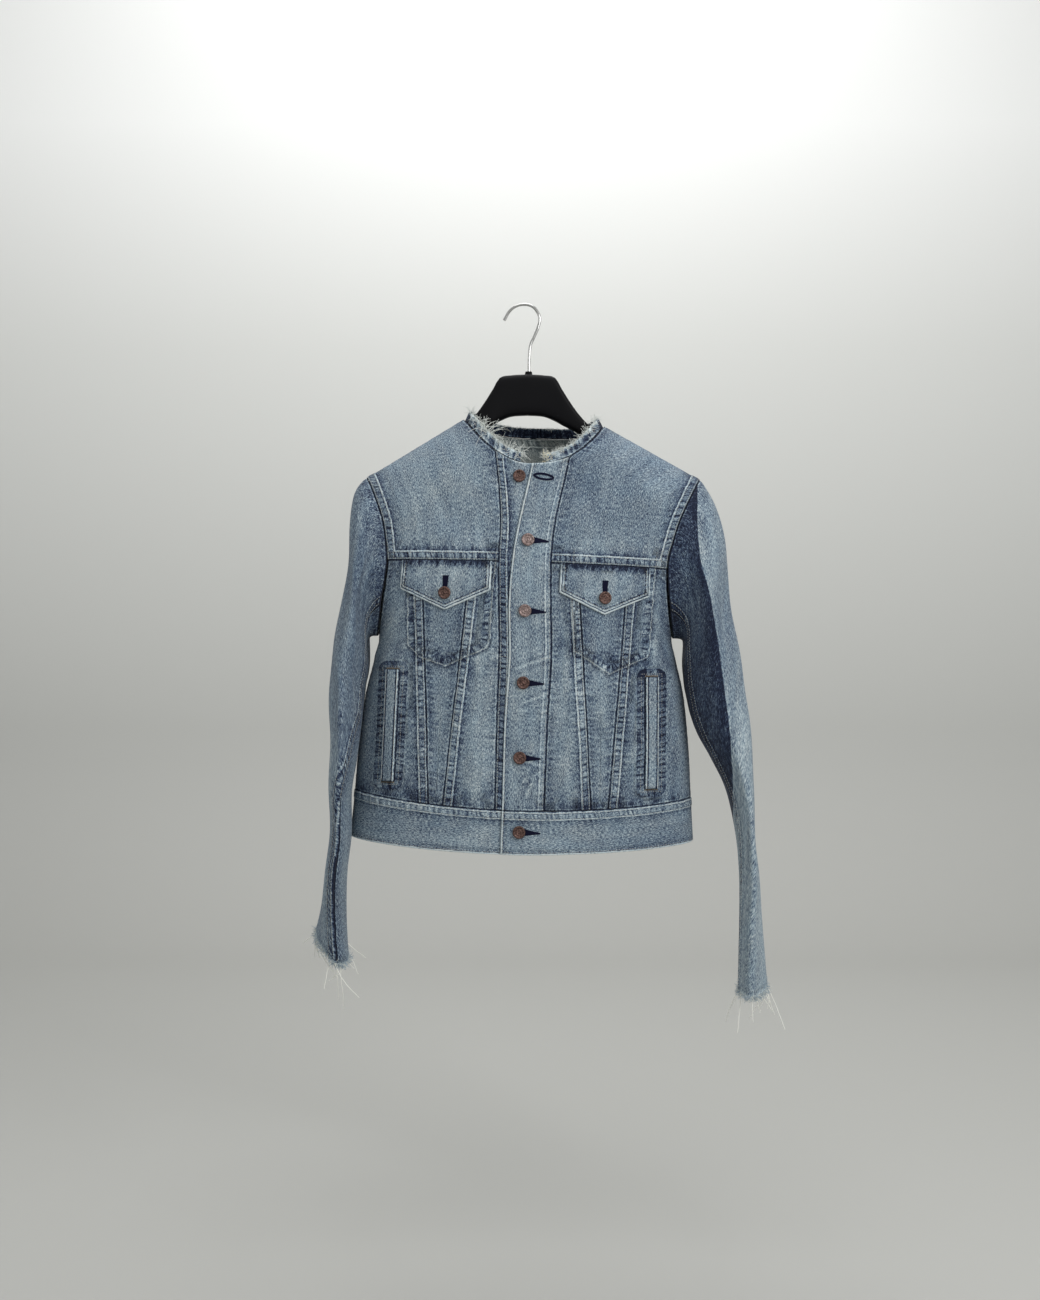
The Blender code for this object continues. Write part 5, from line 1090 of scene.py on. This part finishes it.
def sleeve_place(side, share, angle):
    """A place of the sleeve's inner face; angle in degrees from the outermost point by way of the front."""
    rows = (column[..., None] for column in read(SLEEVES[side], share))
    outer_x, outer_z, inner_x, inner_z, middle_y, depth, turn, drop, hug = rows
    sign = SIDES[side]
    none = 0 * depth
    outer = np.concatenate([sign * outer_x, none, outer_z], -1)
    inner = np.concatenate([sign * inner_x, none, inner_z], -1)
    middle = (outer + inner) / 2 + np.concatenate([none, middle_y, none], -1)
    shift = depth * np.sin(np.radians(turn))
    fold = np.concatenate([sign * shift, -depth * np.cos(np.radians(turn)), -drop], -1)
    c, s = np.cos(np.radians(angle))[..., None], np.sin(np.radians(angle))[..., None]
    sharp = np.copysign(np.abs(c) ** SLEEVE_FOLD, c)
    place = middle + (outer - inner) / 2 * mix(sharp, c, hug) + fold * s
    near = hug[..., 0] > 0
    if near.any():
        start = armhole_start(side, angle[near])[0]
        start[:, 0] += sign * UNDERARM_PUSH * share[near] * ease((1 - c[near][:, 0] - 0.9) / 0.6)
        place[near] = mix(place[near], start, hug[near])
    return place


def sleeve_normal(side, share, angle):
    low, high = np.maximum(share - 0.01, 0), np.minimum(share + 0.01, 1)
    along = sleeve_place(side, high, angle) - sleeve_place(side, low, angle)
    around = sleeve_place(side, share, angle + 2) - sleeve_place(side, share, angle - 2)
    normal = unit(np.cross(around, along) * SIDES[side])
    _, rim, down = armhole_start(side, angle)
    own = np.maximum(ease(share / 0.03), ease((down - 0.75) / 0.25))[..., None]
    return unit(mix(rim, normal, own))


def by_fold(fold, share, angle):
    """Places along and aside from a fold of the sleeve, in units of 60 degrees and a tenth of its length."""
    slant = math.radians(fold.slant)
    da = ((angle - fold.across + 180) % 360 - 180) / 60
    ds = (share - fold.height) / 0.10
    return da * math.cos(slant) + ds * math.sin(slant), ds * math.cos(slant) - da * math.sin(slant)


def sleeve_rise(side, share, angle):
    rise = 0.0
    for fold in SLEEVE_FOLDS[side]:
        along, aside = by_fold(fold, share, angle)
        rise = rise + fold.rise * np.exp(-(along**4) - (aside * 0.035 / fold.width) ** 2 * 2)
    return rise * ease(share / 0.12) * ease(np.abs(np.cos(np.radians(angle))) * 2 - 0.5)


def on_sleeve(side, point, out=0.0):
    """Places on the sleeve; a share past 1 goes on in metres."""
    share, angle = np.minimum(point[..., 0], 1.0), point[..., 1]
    past = (point[..., 0] - share)[..., None]
    along = 0.0
    if past.any():
        along = unit(sleeve_place(side, share, angle) - sleeve_place(side, share - 0.04, angle))
    out = (sleeve_rise(side, share, angle) + out)[..., None]
    return sleeve_place(side, share, angle) + sleeve_normal(side, share, angle) * out + along * past


def sleeve_marks(side):
    def marks(point):
        share, angle = point[..., 0], point[..., 1] % 360
        tone = (0.13 if side == "left" else 0.05) * hump(share, 0.85, 0.22)
        elbow, cap = hump(share, 0.52, 0.10), hump(share, 0.06, 0.06)
        worn = 0.15 + 0.4 * elbow + 0.4 * cap
        # Painted highlight along the raised folds and painted shade along the sunken ones.
        for fold in SLEEVE_FOLDS[side]:
            along, aside = by_fold(fold, share, angle)
            tone = tone + math.copysign(0.06, fold.rise) * np.exp(-(along**4) - (aside / 0.5) ** 2)
        if side == "right":
            # The wearer's right sleeve: its front and its face towards the body, above the cuff, are darkened
            # with painted shade.
            return 0.0, tone - 0.07 * ease((angle - 60) / 60) * ease((0.7 - share) / 0.2), worn, []
        # Past the fold the face towards the body is painted dark with kept dye and painted shade, eased
        # lighter near the top and ending towards the back.
        shaded = (angle - read(SHADED, share)[0]) * 0.75
        tone = tone + 0.10 * ease((0.28 - share) / 0.2) * ease(shaded / 14)
        shaded = np.where(angle > 240, NEAREST, np.minimum(shaded, (240 - angle) * 0.3))
        return 0.0, tone, worn, [("crease", shaded, share)]
    return marks


for side in SIDES:
    share, v = np.meshgrid(np.linspace(0, 1, 300), np.linspace(0, 1, 160), indexing="ij")
    front, back = read(SLEEVE_SEAMS[side], share)
    start = ease(share / 0.12)
    front_start = 180 * mix(front_share[side], 1, 3 / 5)
    back_start = 180 * (2 - mix(1, back_share[side], 4 / 5))
    front, back = mix(front_start, front, start), mix(back_start, back, start)
    for name, first, last, edges in (("top", back - 360, front, ("tucked", "cut", "lapped", "lapped")),
                                     ("under", front, back, ("tucked", "cut", "tucked", "tucked"))):
        grid = np.stack([share, mix(first, last, v)], -1)
        # The wearer's right sleeve has a lower fade than the left: painted shade on that less lit sleeve.
        lay(f"cloth_sleeve_{name}_{side}", grid, lambda g, rise, side=side: on_sleeve(side, g, rise), edges,
            fade=0.51 if side == "left" else 0.445, marks=sleeve_marks(side), pitch=PITCH * 1.25, yarn=1.6)

# ---------------------------------------------------------------- neckband
# What is left of the collar: a band 13 mm high round the neck, cut off raw above, its layers frayed and
# rippled.
NECKBAND_HEIGHT, NECKBAND_LEAN, NECKBAND_CLEAR = 0.0130, 0.45, 0.0005
NECK_START, NECK_END, NECK_MIDDLE = -0.0170, 0.0140, 0.011
NECK_RUNS = [  # face, from, to, stops
    (FRONT, NECK_START, neck_seam["right"], 2), (FRONT, neck_seam["right"], -NECK_HALF, 4),
    (BACK, -NECK_HALF, NECK_HALF, 12),
    (FRONT, NECK_HALF, neck_seam["left"], 4), (FRONT, neck_seam["left"], NECK_END, 2),
]
neck_stops = [(face, mix(start, end, i / n)) for face, start, end, n in NECK_RUNS for i in range(n)]
neck_stops.append((FRONT, NECK_END))
neck_points = np.array([body(face, pattern(x, neck_height(face, x))) for face, x in neck_stops])


def neckband(point, rise):
    """Places at a count of stops round the neck and a height above the seam."""
    at = np.arange(len(neck_points))
    base = np.stack([np.interp(point[..., 0], at, neck_points[:, k]) for k in range(3)], -1)
    out = unit(np.concatenate([base[..., :1] - NECK_MIDDLE, base[..., 1:2], 0 * base[..., :1]], -1))
    up = unit(np.concatenate([-out[..., :2] * NECKBAND_LEAN, 1 + 0 * out[..., :1]], -1))
    thick = np.asarray(rise)[..., None] - DOUBLE - NECKBAND_CLEAR
    return base + up * (point[..., 1:] + 0.0002) + out * thick


def neck_marks(point):
    at, height = point[..., 0], point[..., 1] / NECKBAND_HEIGHT
    back = (at > 5.6) & (at < 18.4)
    tone = np.where(back, -0.28, 0.02) + np.where(back, 0.10, 0.26) * ease((height - 0.62) / 0.3)
    wave = at * 8.3 + 1.7 * np.sin(at * 2.9)
    ripple = 0.0018 * np.sin(wave) * ease(height) + 0.0007 * np.sin(at * 21 + height * 3)
    tone = tone + np.where(back, 0.03, 0.24) * np.sin(wave + 0.6) * hump(height, 0.5, 0.3)
    tone = tone + 0.26 * hump(height, 0.14, 0.05) * ~back
    ripple = ripple * np.where(back, 0.3, 1.0)
    return ripple, tone, np.where(back, 0.8, 1.7), [("crumpled", 0 * at, at * 0.016)]


u, v = np.meshgrid(np.linspace(0, len(neck_stops) - 1, 600), np.linspace(0, NECKBAND_HEIGHT, 30))
lay("cloth_neckband", np.stack([u, v], -1), neckband, ("tucked", "cut", "plain", "plain"), wall=DOUBLE,
    fade=0.44, marks=neck_marks, pitch=PITCH * 0.6, lining=washed)

# ---------------------------------------------------------------- the hanger
# A broad contoured hanger of black satin plastic, moulded in one with thick rounded shoulders and an
# arched underside.
black, face = shader("satin_black_plastic", (0.0035, 0.0035, 0.0045), 0.42, Specular_IOR_Level=0.12)
place = node(black, "ShaderNodeTexCoord").outputs["Object"]
grain = node(black, "ShaderNodeTexNoise", Vector=place, Scale=900.0, Detail=2.0)
bump = node(black, "ShaderNodeBump", Height=grain.outputs[0], Strength=0.12, Distance=0.0004)
feed(black, face, Normal=bump.outputs[0])
Bar = namedtuple("Bar", "across top bottom half_thick")
HANGER_MIDDLE, HANGER_CLEAR = 0.003, 0.0036
HANGER = table(Bar, [
    (0, -0.084, -0.1335, 0.01), (0.02, -0.0852, -0.135, 0.01), (0.034, -0.0885, -0.1405, 0.0102),
    (0.042, -0.102, -0.145, 0.0106), (0.052, -0.118, -0.15, 0.0108), (0.062, -0.132, -0.156, 0.0108),
    (0.074, -0.145, -0.164, 0.011), (0.09, -0.156, -0.176, 0.013), (0.12, -0.1735, -0.201, 0.018),
    (0.15, -0.1915, -0.229, 0.0205), (0.176, -0.2075, -0.252, 0.0215),
])


def cloth_over(x, y):
    """Height of the shoulder's inner face over a place."""
    across = x - read(BODY, -0.19)[0]
    _, half_width, front, back = read(BODY, shoulder_height(across) - CREST_DROP / 2)
    depth = np.where(y < 0, front, back)
    turn = np.arcsin(np.minimum(abs(across) / half_width, 1))
    share = np.minimum(np.abs(y) / (depth * np.cos(turn) ** FULLNESS), 1)
    return shoulder_height(across) - CREST_DROP * (1 - np.sqrt(1 - share**2))


def hanger():
    bm = bmesh.new()
    rings, around = [], 32
    angle = np.arange(around) * 2 * math.pi / around
    arm, crown = np.linspace(-HANGER[-1].across, -0.030, 40), np.linspace(-0.027, 0.027, 19)
    for across in [*arm, *crown, *-arm[::-1]]:
        top, bottom, thick = (float(v) for v in read(HANGER, abs(across)))
        x = HANGER_MIDDLE + across
        boxy = mix(0.45, 0.8, float(ease((abs(across) - 0.05) / 0.06)))
        far = float(ease((abs(across) - 0.09) / 0.03))
        for _ in range(5):  # the ends' tops are brought down under the cloth
            middle, half = (top + bottom) / 2, (top - bottom) / 2
            c, s = np.cos(angle), np.sin(angle)
            y = thick * np.copysign(np.abs(s) ** boxy, s)
            z = middle + half * np.copysign(np.abs(c) ** boxy, c)
            over = float((z - cloth_over(x, y)).max()) + HANGER_CLEAR
            top -= over * far if over > 0 or far > 0.99 else 0.0
        ring = [bm.verts.new((x, *p)) for p in zip(y, z)]
        rings.append([bm.edges.new((ring[i], ring[(i + 1) % around])) for i in range(around)])
    for a, b in zip(rings, rings[1:]):
        bmesh.ops.bridge_loops(bm, edges=a + b)
    for end in (rings[0], rings[-1]):
        bmesh.ops.edgenet_fill(bm, edges=end)
    bmesh.ops.recalc_face_normals(bm, faces=bm.faces)
    thing = built("moulded_hanger", bm, black)
    thing.data.set_sharp_from_angle(angle=math.radians(50))
    finish(thing, "black_plastic", "hanger")


hanger()
collar = bmesh.new()
bmesh.ops.create_cone(collar, cap_ends=True, segments=32, radius1=0.0048, radius2=0.0040, depth=0.0040,
                      matrix=Matrix.Translation((HANGER_MIDDLE + 0.0015, 0, -0.0824)))
finish(built("hook_collar", collar, black, smooth=False), "black_plastic")

# ---------------------------------------------------------------- buttons
# Shank buttons of antique copper: a dished cap with turned rings round a small boss, rubbed bright on its
# raised rings.
def copper(name, low, high):
    metal, face = shader(name, high, 0.45, 0.6)
    place = node(metal, "ShaderNodeTexCoord").outputs["Object"]
    patina = node(metal, "ShaderNodeTexNoise", Vector=place, Scale=620.0, Detail=4.0).outputs[0]
    feed(metal, face, Base_Color=ramp(metal, patina, [(0.35, low), (0.68, high)]))
    return metal


rubbed = copper("copper_rubbed", (0.11, 0.075, 0.070), (0.42, 0.32, 0.30))
aged = copper("copper_aged", (0.028, 0.014, 0.012), (0.20, 0.115, 0.095))
Turn = namedtuple("Turn", "radius height")
PROFILE = [Turn(*(v * MM for v in row)) for row in (  # in millimetres
    (0, 3.55), (0.7, 3.5), (1.1, 3.15), (1.5, 2.75), (2, 2.7), (2.4, 3.05), (2.9, 3.15), (3.3, 2.8),
    (3.9, 2.7), (4.6, 2.75), (5, 3.1), (5.6, 3.55), (6.3, 3.65), (7, 3.35), (7.5, 2.6), (7.6, 2), (7.3, 1.4),
    (6.6, 1.05), (3.4, 0.95), (3, 0.6), (3, 0), (0, 0))]


def button(name, x, z, out, copper):
    bm = bmesh.new()
    rims = [bm.verts.new((row.radius, 0, row.height)) for row in PROFILE]
    edges = [bm.edges.new(pair) for pair in zip(rims, rims[1:])]
    bmesh.ops.spin(bm, geom=rims + edges, axis=(0, 0, 1), cent=(0, 0, 0), angle=2 * math.pi, steps=40,
                   use_merge=True)
    bmesh.ops.remove_doubles(bm, verts=bm.verts, dist=1e-6)
    bmesh.ops.recalc_face_normals(bm, faces=bm.faces)
    point = pattern(x, z)
    turned = Vector(body_normal(FRONT, point)).to_track_quat("Z", "Y").to_matrix().to_4x4()
    bmesh.ops.transform(bm, matrix=Matrix.Translation(on_body(FRONT, point, out)) @ turned, verts=bm.verts)
    finish(built("copper_" + name, bm, copper), "copper", name)


SEAT, FLAP_BUTTON_DROP = 0.0006, 0.0385
for name, x, z in BUTTONS:
    out = DOUBLE + SEAT if name == "button_1" else 2 * DOUBLE + OVER_BAND + SEAT
    button(name, x, z, out, rubbed if name in ("button_2", "button_3") else aged)
flap_buttons = {side: (x, float(yoke_line(x)) - FLAP_BUTTON_DROP) for side, x in FLAP_MIDDLE.items()}
for side, (x, z) in flap_buttons.items():
    button(f"flap_button_{side}", x, z, ON_PANEL + DOUBLE + SEAT, aged)

# ---------------------------------------------------------------- topstitching
# Two rows of pale cotton thread hold each felled seam down, and one or two run round flaps, bands and
# welts. Each stitch is a short thread that dips into the cloth at both ends.
thread, _ = shader("pale_cotton_thread", (0.42, 0.42, 0.385), 0.8, Sheen_Weight=0.2)
STITCH, COARSE_STITCH, STITCH_SHARE = 0.0033, 0.0030, 0.72
LIFT, DIP = 0.00022, -0.00025  # of a stitch's middle and ends, from the cloth


def row(piece, edge, inset):
    """Places and normals on a piece along a line at a distance from one of its edges."""
    cloth, reach = made[piece], getattr(made[piece], edge)
    skin, normal = cloth.skin, cloth.normal
    if edge in ("low", "high"):
        reach, skin, normal = reach.T, skin.transpose(1, 0, 2), normal.transpose(1, 0, 2)
    if edge in ("high", "left"):
        reach, skin, normal = reach[:, ::-1], skin[:, ::-1], normal[:, ::-1]
    keep = [i for i in range(len(reach)) if reach[i, -1] > 2.2 * inset]
    at = lambda values: np.array([[np.interp(inset, reach[i], values[i, :, k]) for k in range(3)]
                                  for i in keep])
    return at(skin), unit(at(normal))


def stitches(places, normals, clear=0.0, pitch=STITCH):
    """Short threads along a line, clear of its ends, as lists of (place, share of the radius)."""
    step = np.linalg.norm(np.diff(places, axis=0), axis=1)
    run = np.concatenate([[0], np.cumsum(step + 1e-12)])
    count = int((run[-1] - clear - clear) / pitch)
    at = lambda s, values: np.stack([np.interp(s, run, values[:, k]) for k in range(3)], -1)
    lines = []
    for head in clear + np.arange(max(count, 0)) * pitch:
        s = head + np.array([0, 0.5, 1.0]) * STITCH_SHARE * pitch
        p, n = at(s, places), at(s, normals)
        p = p + n * np.array([[DIP], [LIFT], [DIP]])
        lines.append([(Vector(p[0]), 0.7), (Vector(p[1]), 1.0), (Vector(p[2]), 0.7)])
    return lines


def sew(name, lines, radius=0.00030, material=thread, nodes=()):
    finish(wire(name, lines, radius, material, sides=0, kind="POLY"), "denim_threads", *nodes)


def topstitch(name, rows):
    """Rows are (piece, edge, distances from it)."""
    lines = []
    for piece, edge, insets in rows:
        for inset in insets:
            lines += stitches(*row("cloth_" + piece, edge, inset), clear=0.001)
    sew("topstitching_" + name, lines)


FELLED, LAPPED, FLAP, WELT = (0.0021, 0.0092), (0.0026, 0.0112), (0.0056,), (0.0016,)
front_rows = []
for side, other in (("right", "left"), ("left", "right")):
    front_rows += [(f"front_yoke_{side}", "low", FELLED), (f"front_yoke_{side}", side, FELLED),
                   (f"front_side_{side}", other, FELLED), (f"front_centre_{side}", side, FELLED)]
    front_rows += [(f"pocket_flap_{side}", edge, FLAP) for edge in ("low", "left", "right")]
    front_rows += [(f"welt_pocket_{side}", edge, WELT) for edge in ("left", "right")]
front_rows += [("placket", "right", (0.0020,)), ("placket", "left", (0.0022,)),
               ("under_band", "right", FELLED), ("waistband", "high", FELLED),
               ("waistband", "left", (0.0022,)), ("waistband", "low", (0.0030,))]
topstitch("front", front_rows)
back_rows = [("back_yoke", edge, FELLED) for edge in ("low", "high", "right", "left")]
topstitch("back", back_rows + [("back_panel", edge, FELLED) for edge in ("right", "left")])
topstitch("sleeves", [(f"sleeve_top_{side}", edge, LAPPED) for side in SIDES for edge in ("left", "right")])

# Lines that cross several front panels lie on whatever they cross.
def trees(*names):
    deps = bpy.context.evaluated_depsgraph_get()
    return [BVHTree.FromObject(made[name].thing, deps) for name in names]


front_trees = trees(*(name for name in made if "front_" in name))
bands_trees = trees("cloth_under_band", "cloth_placket", "cloth_waistband")


def drop(line, below, pitch=0.0008):
    """Places and normals on the cloth along a line of (x, z) corners on the front."""
    x, z = [], []
    for (ax, az), (bx, bz) in zip(line, line[1:]):
        t = np.linspace(0, 1, max(2, int(math.hypot(bx - ax, bz - az) / pitch)))
        x.append(mix(ax, bx, t))
        z.append(mix(az, bz, t))
    point = pattern(np.concatenate(x), np.concatenate(z))
    places, normals = on_body(FRONT, point, 0.02), body_normal(FRONT, point)
    found = []
    for place, normal in zip(places, normals):
        hits = [tree.ray_cast(Vector(place), -Vector(normal), 0.03) for tree in below]
        hits = [h for h in hits if h[0]]
        found.append(min(hits, key=lambda h: h[3])[0] if hits else Vector(place - normal * 0.018))
    return np.array(found), normals


ON_BANDS = [[(-0.0305, -0.4265), (-0.0195, -0.4262)], [(0.0180, -0.4290), (0.0300, -0.4285)]]
lines = []
for side in SIDES:
    for line in (POCKETS[side], welt_outline(side, 0.0048, 0.004)):
        lines += stitches(*drop(line, front_trees), pitch=COARSE_STITCH)
for line in ON_BANDS:
    lines += stitches(*drop(line, bands_trees), pitch=COARSE_STITCH)
sew("pocket_stitching", lines)

# ---------------------------------------------------------------- buttonholes and bar tacks
# Buttonholes are worked in navy thread, close stitches from side to side; short tan bar tacks close the
# welts' ends.
navy, _ = shader("navy_thread", (0.007, 0.008, 0.026), 0.8, Specular_IOR_Level=0.1)
tan, _ = shader("tan_thread", (0.36, 0.27, 0.17), 0.8, Sheen_Weight=0.3)
flap_trees = trees("cloth_pocket_flap_right", "cloth_pocket_flap_left")
PROUD = 0.0003


def buttonhole(x, z, dx, dz, start, length, wide, tip, below, loop=0.0):
    """Stitches across a slit, as wide as given at start and tip; an open one is a loop round a gap."""
    turns = int(length / 0.00040)
    line = []
    for i in range(turns + 1):
        a = start + length * i / turns
        half, gap = mix(wide, tip, (i / turns) ** 0.8), 0.0
        if loop:
            half = wide * math.sqrt(math.sin(math.pi * (i + 0.5) / (turns + 1))) + 0.0004
            gap = max(half - loop, 0.0)
        spans = ((-half, -gap), (gap, half)) if gap else ((-half, half),)
        for low, high in spans:
            line += [(x + a * dx - w * dz, z + a * dz + w * dx) for w in (low, high)]
    places, normals = drop(line, below, 1.0)
    ends = [Vector(p + n * PROUD) for p, n in zip(places, normals)]
    return [[(a, 1.0), (b, 1.0)] for a, b in zip(ends[::4], ends[1::4])]


_, x, z = BUTTONS[0]
holes = buttonhole(x + 0.0165, z + 0.0008, 0.988, -0.16, 0.0, 0.0245, 0.0040, 0.0032, bands_trees, 0.0025)
for _, x, z in BUTTONS[1:]:
    holes += buttonhole(x, z, 0.995, -0.07, 0.0040, 0.0205, 0.0046, 0.0008, bands_trees)
for x, z in flap_buttons.values():
    holes += buttonhole(x, z, 0.0, 1.0, 0.0050, 0.0150, 0.0026, 0.0034, flap_trees)
sew("buttonholes", holes, radius=0.00036, material=navy)
TACK_HALF = 0.0009
tacks = []
for side in SIDES:
    welt = WELTS[side]
    for x, z in ((welt.top_x, welt.top_z + 0.0015), (welt.bottom_x, welt.bottom_z - 0.0015)):
        zig = [(x - WELT_WIDTH / 2 + WELT_WIDTH * i / 30, z + (TACK_HALF if i % 2 else -TACK_HALF))
               for i in range(31)]
        places, normals = drop(zig, front_trees, 1.0)
        tacks.append([(Vector(p + n * PROUD), 1.0) for p, n in zip(places, normals)])
sew("bar_tacks", tacks, material=tan)

# ---------------------------------------------------------------- frayed edges
# Where the collar and the cuffs were cut away the weft has worked loose: pale threads in tufts at the
# neck, short fuzz and a few long threads at the cuffs.
raw, _ = shader("raw_cotton", (0.66, 0.69, 0.66), 0.85, Sheen_Weight=0.3)
cream, _ = shader("cream_cotton", (0.66, 0.62, 0.47), 0.85, Sheen_Weight=0.3)
bleached, _ = shader("bleached_cotton", (0.88, 0.88, 0.82), 0.8, Sheen_Weight=0.3)
half_blue, _ = shader("part_dyed_cotton", (0.30, 0.38, 0.45), 0.85, Sheen_Weight=0.3)
chance = np.random.default_rng(11)


def hair(root, way, length, curl=0.5, sag=0.0, points=5):
    """A loose thread from a root, curling at random and sagging."""
    line, place, way = [(Vector(root), 1.0)], np.array(root, float), unit(np.array(way, float))
    bend = chance.normal(0, curl, 3)
    for i in range(1, points):
        way = unit(way + bend * 0.35 + chance.normal(0, curl * 0.3, 3) + np.array([0, 0, -sag]))
        place = place + way * length / (points - 1)
        line.append((Vector(place), 1.0 - 0.4 * i / points))
    return line


def neck_root(at, height=NECKBAND_HEIGHT):
    """A thread's root in the neck's raw edge, and the way outwards there."""
    point = np.array([[at, height - 0.0012]])
    place = neckband(point, np.array([chance.uniform(0.0003, 0.0018)]))[0]
    return place, unit(np.array([place[0] - NECK_MIDDLE, place[1], 0]))


hairs, lumps = [], []
last = len(neck_stops) - 1
for i in range(520):
    at = chance.uniform(0, last)
    place, out = neck_root(at)
    side = np.cross(out, (0, 0, 1)) * chance.normal(0, 0.5)
    front = at < 6 or at > 18
    hairs.append(hair(place, np.array([0, 0, 1.0]) - out * chance.uniform(-0.3, 0.8) + side,
                      chance.uniform(0.0015, 0.0055 if front else 0.004), 0.8))
TUFTS = [  # count of stops round the neck, threads, reach, how far below the raw edge, spread
    (0.15, 50, 0.015, 0.005, 0.2), (1, 40, 0.018, 0.002, 0.3), (1.9, 26, 0.01, 0.002, 0.5),
    (3.6, 70, 0.026, 0.002, 0.4), (4.6, 40, 0.014, 0.002, 0.3), (5.8, 40, 0.013, 0.002, 0.4),
    (last - 0.15, 70, 0.01, 0.006, 0.25), (last - 1.3, 60, 0.009, 0.003, 0.5),
    (last - 3, 44, 0.009, 0.002, 0.5), (last - 4.6, 56, 0.012, 0.002, 0.4), (18.3, 50, 0.013, 0.002, 0.4),
    (9, 16, 0.009, 0.002, 0.5),
]
for at, count, reach, below, spread in TUFTS:
    for i in range(count):
        at_here = float(np.clip(at + chance.normal(0, spread), 0, last))
        place, out = neck_root(at_here, NECKBAND_HEIGHT - abs(chance.normal(0, below)))
        way = np.array([0, 0, chance.uniform(0.2, 1.2)]) + np.cross(out, (0, 0, 1)) * chance.normal(0, 0.9)
        way = way + out * chance.uniform(-1.2, 0.3)
        lump = at > last - 0.5 and i % 2
        (lumps if lump else hairs).append(hair(place, way, reach * chance.uniform(0.4, 1.1), 0.9, 0.10))
sew("neck_fray", hairs, radius=0.00027, material=raw, nodes=["neck_fringe"])
sew("neck_fray_cream", lumps, radius=0.00052, material=cream)
CUFF_HAIRS, CUFF_STRANDS = 760, 16
for side in SIDES:
    hairs, dyed, strands = [], [], []
    ends = np.stack([np.ones(CUFF_HAIRS), chance.uniform(0, 360, CUFF_HAIRS)], -1)
    places = on_sleeve(side, ends, chance.uniform(0.0004, 0.0016, CUFF_HAIRS))
    for i, (place, out) in enumerate(zip(places, sleeve_normal(side, ends[:, 0], ends[:, 1]))):
        long = i < CUFF_STRANDS
        way = np.array([0, 0, -1.0]) + out * chance.normal(0.45, 0.6) * (0.25 if long else 1)
        way = way + np.cross(out, (0, 0, 1)) * chance.normal(0, 0.5)
        reach = chance.uniform(0.024, 0.062) if long else chance.uniform(0.003, 0.009)
        (strands if long else dyed if i % 2 else hairs).append(
            hair(place, way, reach, 0.45 if long else 0.8, 0.35 if long else 0.0, 9 if long else 5))
    sew(f"cuff_fray_{side}", hairs, radius=0.00024, material=raw, nodes=[f"cuff_fringe_{side}"])
    sew(f"cuff_fray_blue_{side}", dyed, radius=0.00034, material=half_blue)
    sew(f"cuff_strands_{side}", strands, radius=0.00060, material=bleached)
